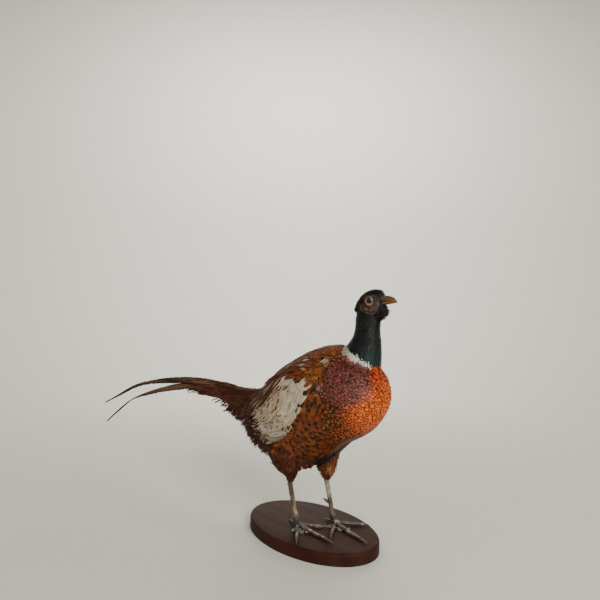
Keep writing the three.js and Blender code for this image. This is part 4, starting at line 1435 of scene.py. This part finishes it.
# %% Finishes of leg and claw
def leg_finish():
    f = Finish("scaled leg skin", Roughness=0.45)
    plates = f.node("TexVoronoi", sockets={"Vector": f.stretched(f.place(), (1, 1, 0.5)), "Scale": 420})
    tone = f.noise(42, detail=5)
    height = f.axis(f.place(), 2)
    straw = f.mix(f.step(height, 0.045, 0.075), (0.28, 0.18, 0.078), (0.34, 0.29, 0.205))
    shank = f.mix(f.step(tone, 0.36, 0.60), (0.055, 0.034, 0.019), straw)
    toes = f.mix(f.step(tone, 0.40, 0.70), (0.024, 0.014, 0.010), (0.20, 0.16, 0.12))
    base = f.mix(f.step(height, 0.030, 0.042), toes, shank)
    base = f.mix(f.step(plates, 0.35, 0.8, 0.0, 0.75), base, (0.030, 0.020, 0.014))
    glue = f.step(f.noise(90, detail=3), 0.56, 0.64, 0.0, 0.8)
    f.paint(f.mix(glue, base, (0.30, 0.285, 0.26)))
    f.bump(plates, strength=0.5, distance=0.0006)
    return f


def claw_finish():
    f = Finish("claw horn", Roughness=0.4)
    tone = f.noise(200, detail=3)
    f.paint(f.mix(tone, (0.060, 0.040, 0.024), (0.20, 0.15, 0.095)))
    f.bump(tone, strength=0.2)
    return f


# %% Legs
SPUR_SWELL = 0.8
leg_skin, claw_horn = leg_finish(), claw_finish()
for side in SIDES:
    leg = refined(f"leg_{side}", solids(f"shank_{side}", f"foot_{side}"), voxel=0.7, smoothing=6)
    points = points_of(leg.data) / MM
    height = points[:, 2]
    swell = 1.1 * smoothstep(40, 60, height) + 1.7 * np.exp(-(((height - 37) / 9) ** 2))
    swell = swell + wobble(points, 2.2, 0.35) * smoothstep(22, 28, height)
    put_points(leg.data, (points + normals_of(leg.data) * swell[:, None]) * MM)
    dress(leg, leg_skin, "leg_skin", f"shank_{side}", f"foot_{side}")
    for name in [f"spur_{side}", *(f"claw_{side}_{toe}" for toe in ("inner", "middle", "outer", "hind"))]:
        claw = refined(name + "_horn", solids(name), voxel=0.35, smoothing=3)
        if name.startswith("spur"):
            put_points(claw.data, points_of(claw.data) + normals_of(claw.data) * SPUR_SWELL * MM)
        dress(claw, claw_horn, "claw_horn", name)

# %% [markdown]
# ## Putty under the feet
# The feet are fixed with a grey filler, smeared thin round each foot and a little up the toes. It is a
# puddle of flattened balls, remeshed together, with a dusty, chalky finish.

# %% Putty
def putty_finish():
    f = Finish("grey filler", Roughness=0.85, Specular_IOR_Level=0.2)
    chalk = f.noise(160, detail=5)
    f.paint(f.mix(f.step(chalk, 0.35, 0.65), (0.10, 0.085, 0.075), (0.30, 0.285, 0.26)))
    f.bump(chalk, strength=0.5, distance=0.0005)
    return f


SMEARS = 26
SMEAR_ALONG, SMEAR_ACROSS = 9, 5  # how far the smears scatter round the heel
filler = putty_finish()
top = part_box("plinth")[1].z
for side in SIDES:
    low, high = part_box(f"foot_{side}")
    heel_x = low.x + 0.36 * (high.x - low.x)
    middle_y = (low.y + high.y) / 2
    bm = bmesh.new()
    for _ in range(SMEARS):
        x = heel_x + chance.normal(0, SMEAR_ALONG) * MM
        y = middle_y + chance.normal(0, SMEAR_ACROSS) * MM
        wide = chance.uniform(2.5, 5.5)
        place = Matrix.Translation((x, y, top + 0.3 * MM)) @ Matrix.Diagonal((wide, wide * 0.8, 1.3, 1))
        bmesh.ops.create_icosphere(bm, subdivisions=3, radius=1 * MM, matrix=place)
    dress(refined(f"putty_{side}", bm, voxel=0.6, smoothing=4), filler, "leg_skin")

# %% [markdown]
# ## The skin's own finish
# Between the feathers the skin shows as down. It carries the same ground colours as the feathers over
# it, a little darkened by a fluffy noise, so that no gap shows light. It stands for every solid of
# flesh, and the form it was made from isn't needed any more.

# %% The skin stands for every solid of flesh
def down_finish():
    f = Finish("skin and down", Roughness=0.8)
    fluff = f.noise(420, detail=5)
    hue = f.attribute("ground", "Color")
    f.paint(f.mix(f.step(fluff, 0.3, 0.7), f.mix(0.6, hue, (0.01, 0.008, 0.008)), hue))
    f.bump(fluff, strength=0.5, distance=0.0008)
    return f


ground = colours_of(form_points / MM, form_tract)[0]
colour(skin_mesh, "ground", np.column_stack([ground, np.ones(len(ground))]))
skin_mesh.materials.clear()
dress(skin, down_finish(), "body_plumage", *FLESH)
bpy.data.objects.remove(form)
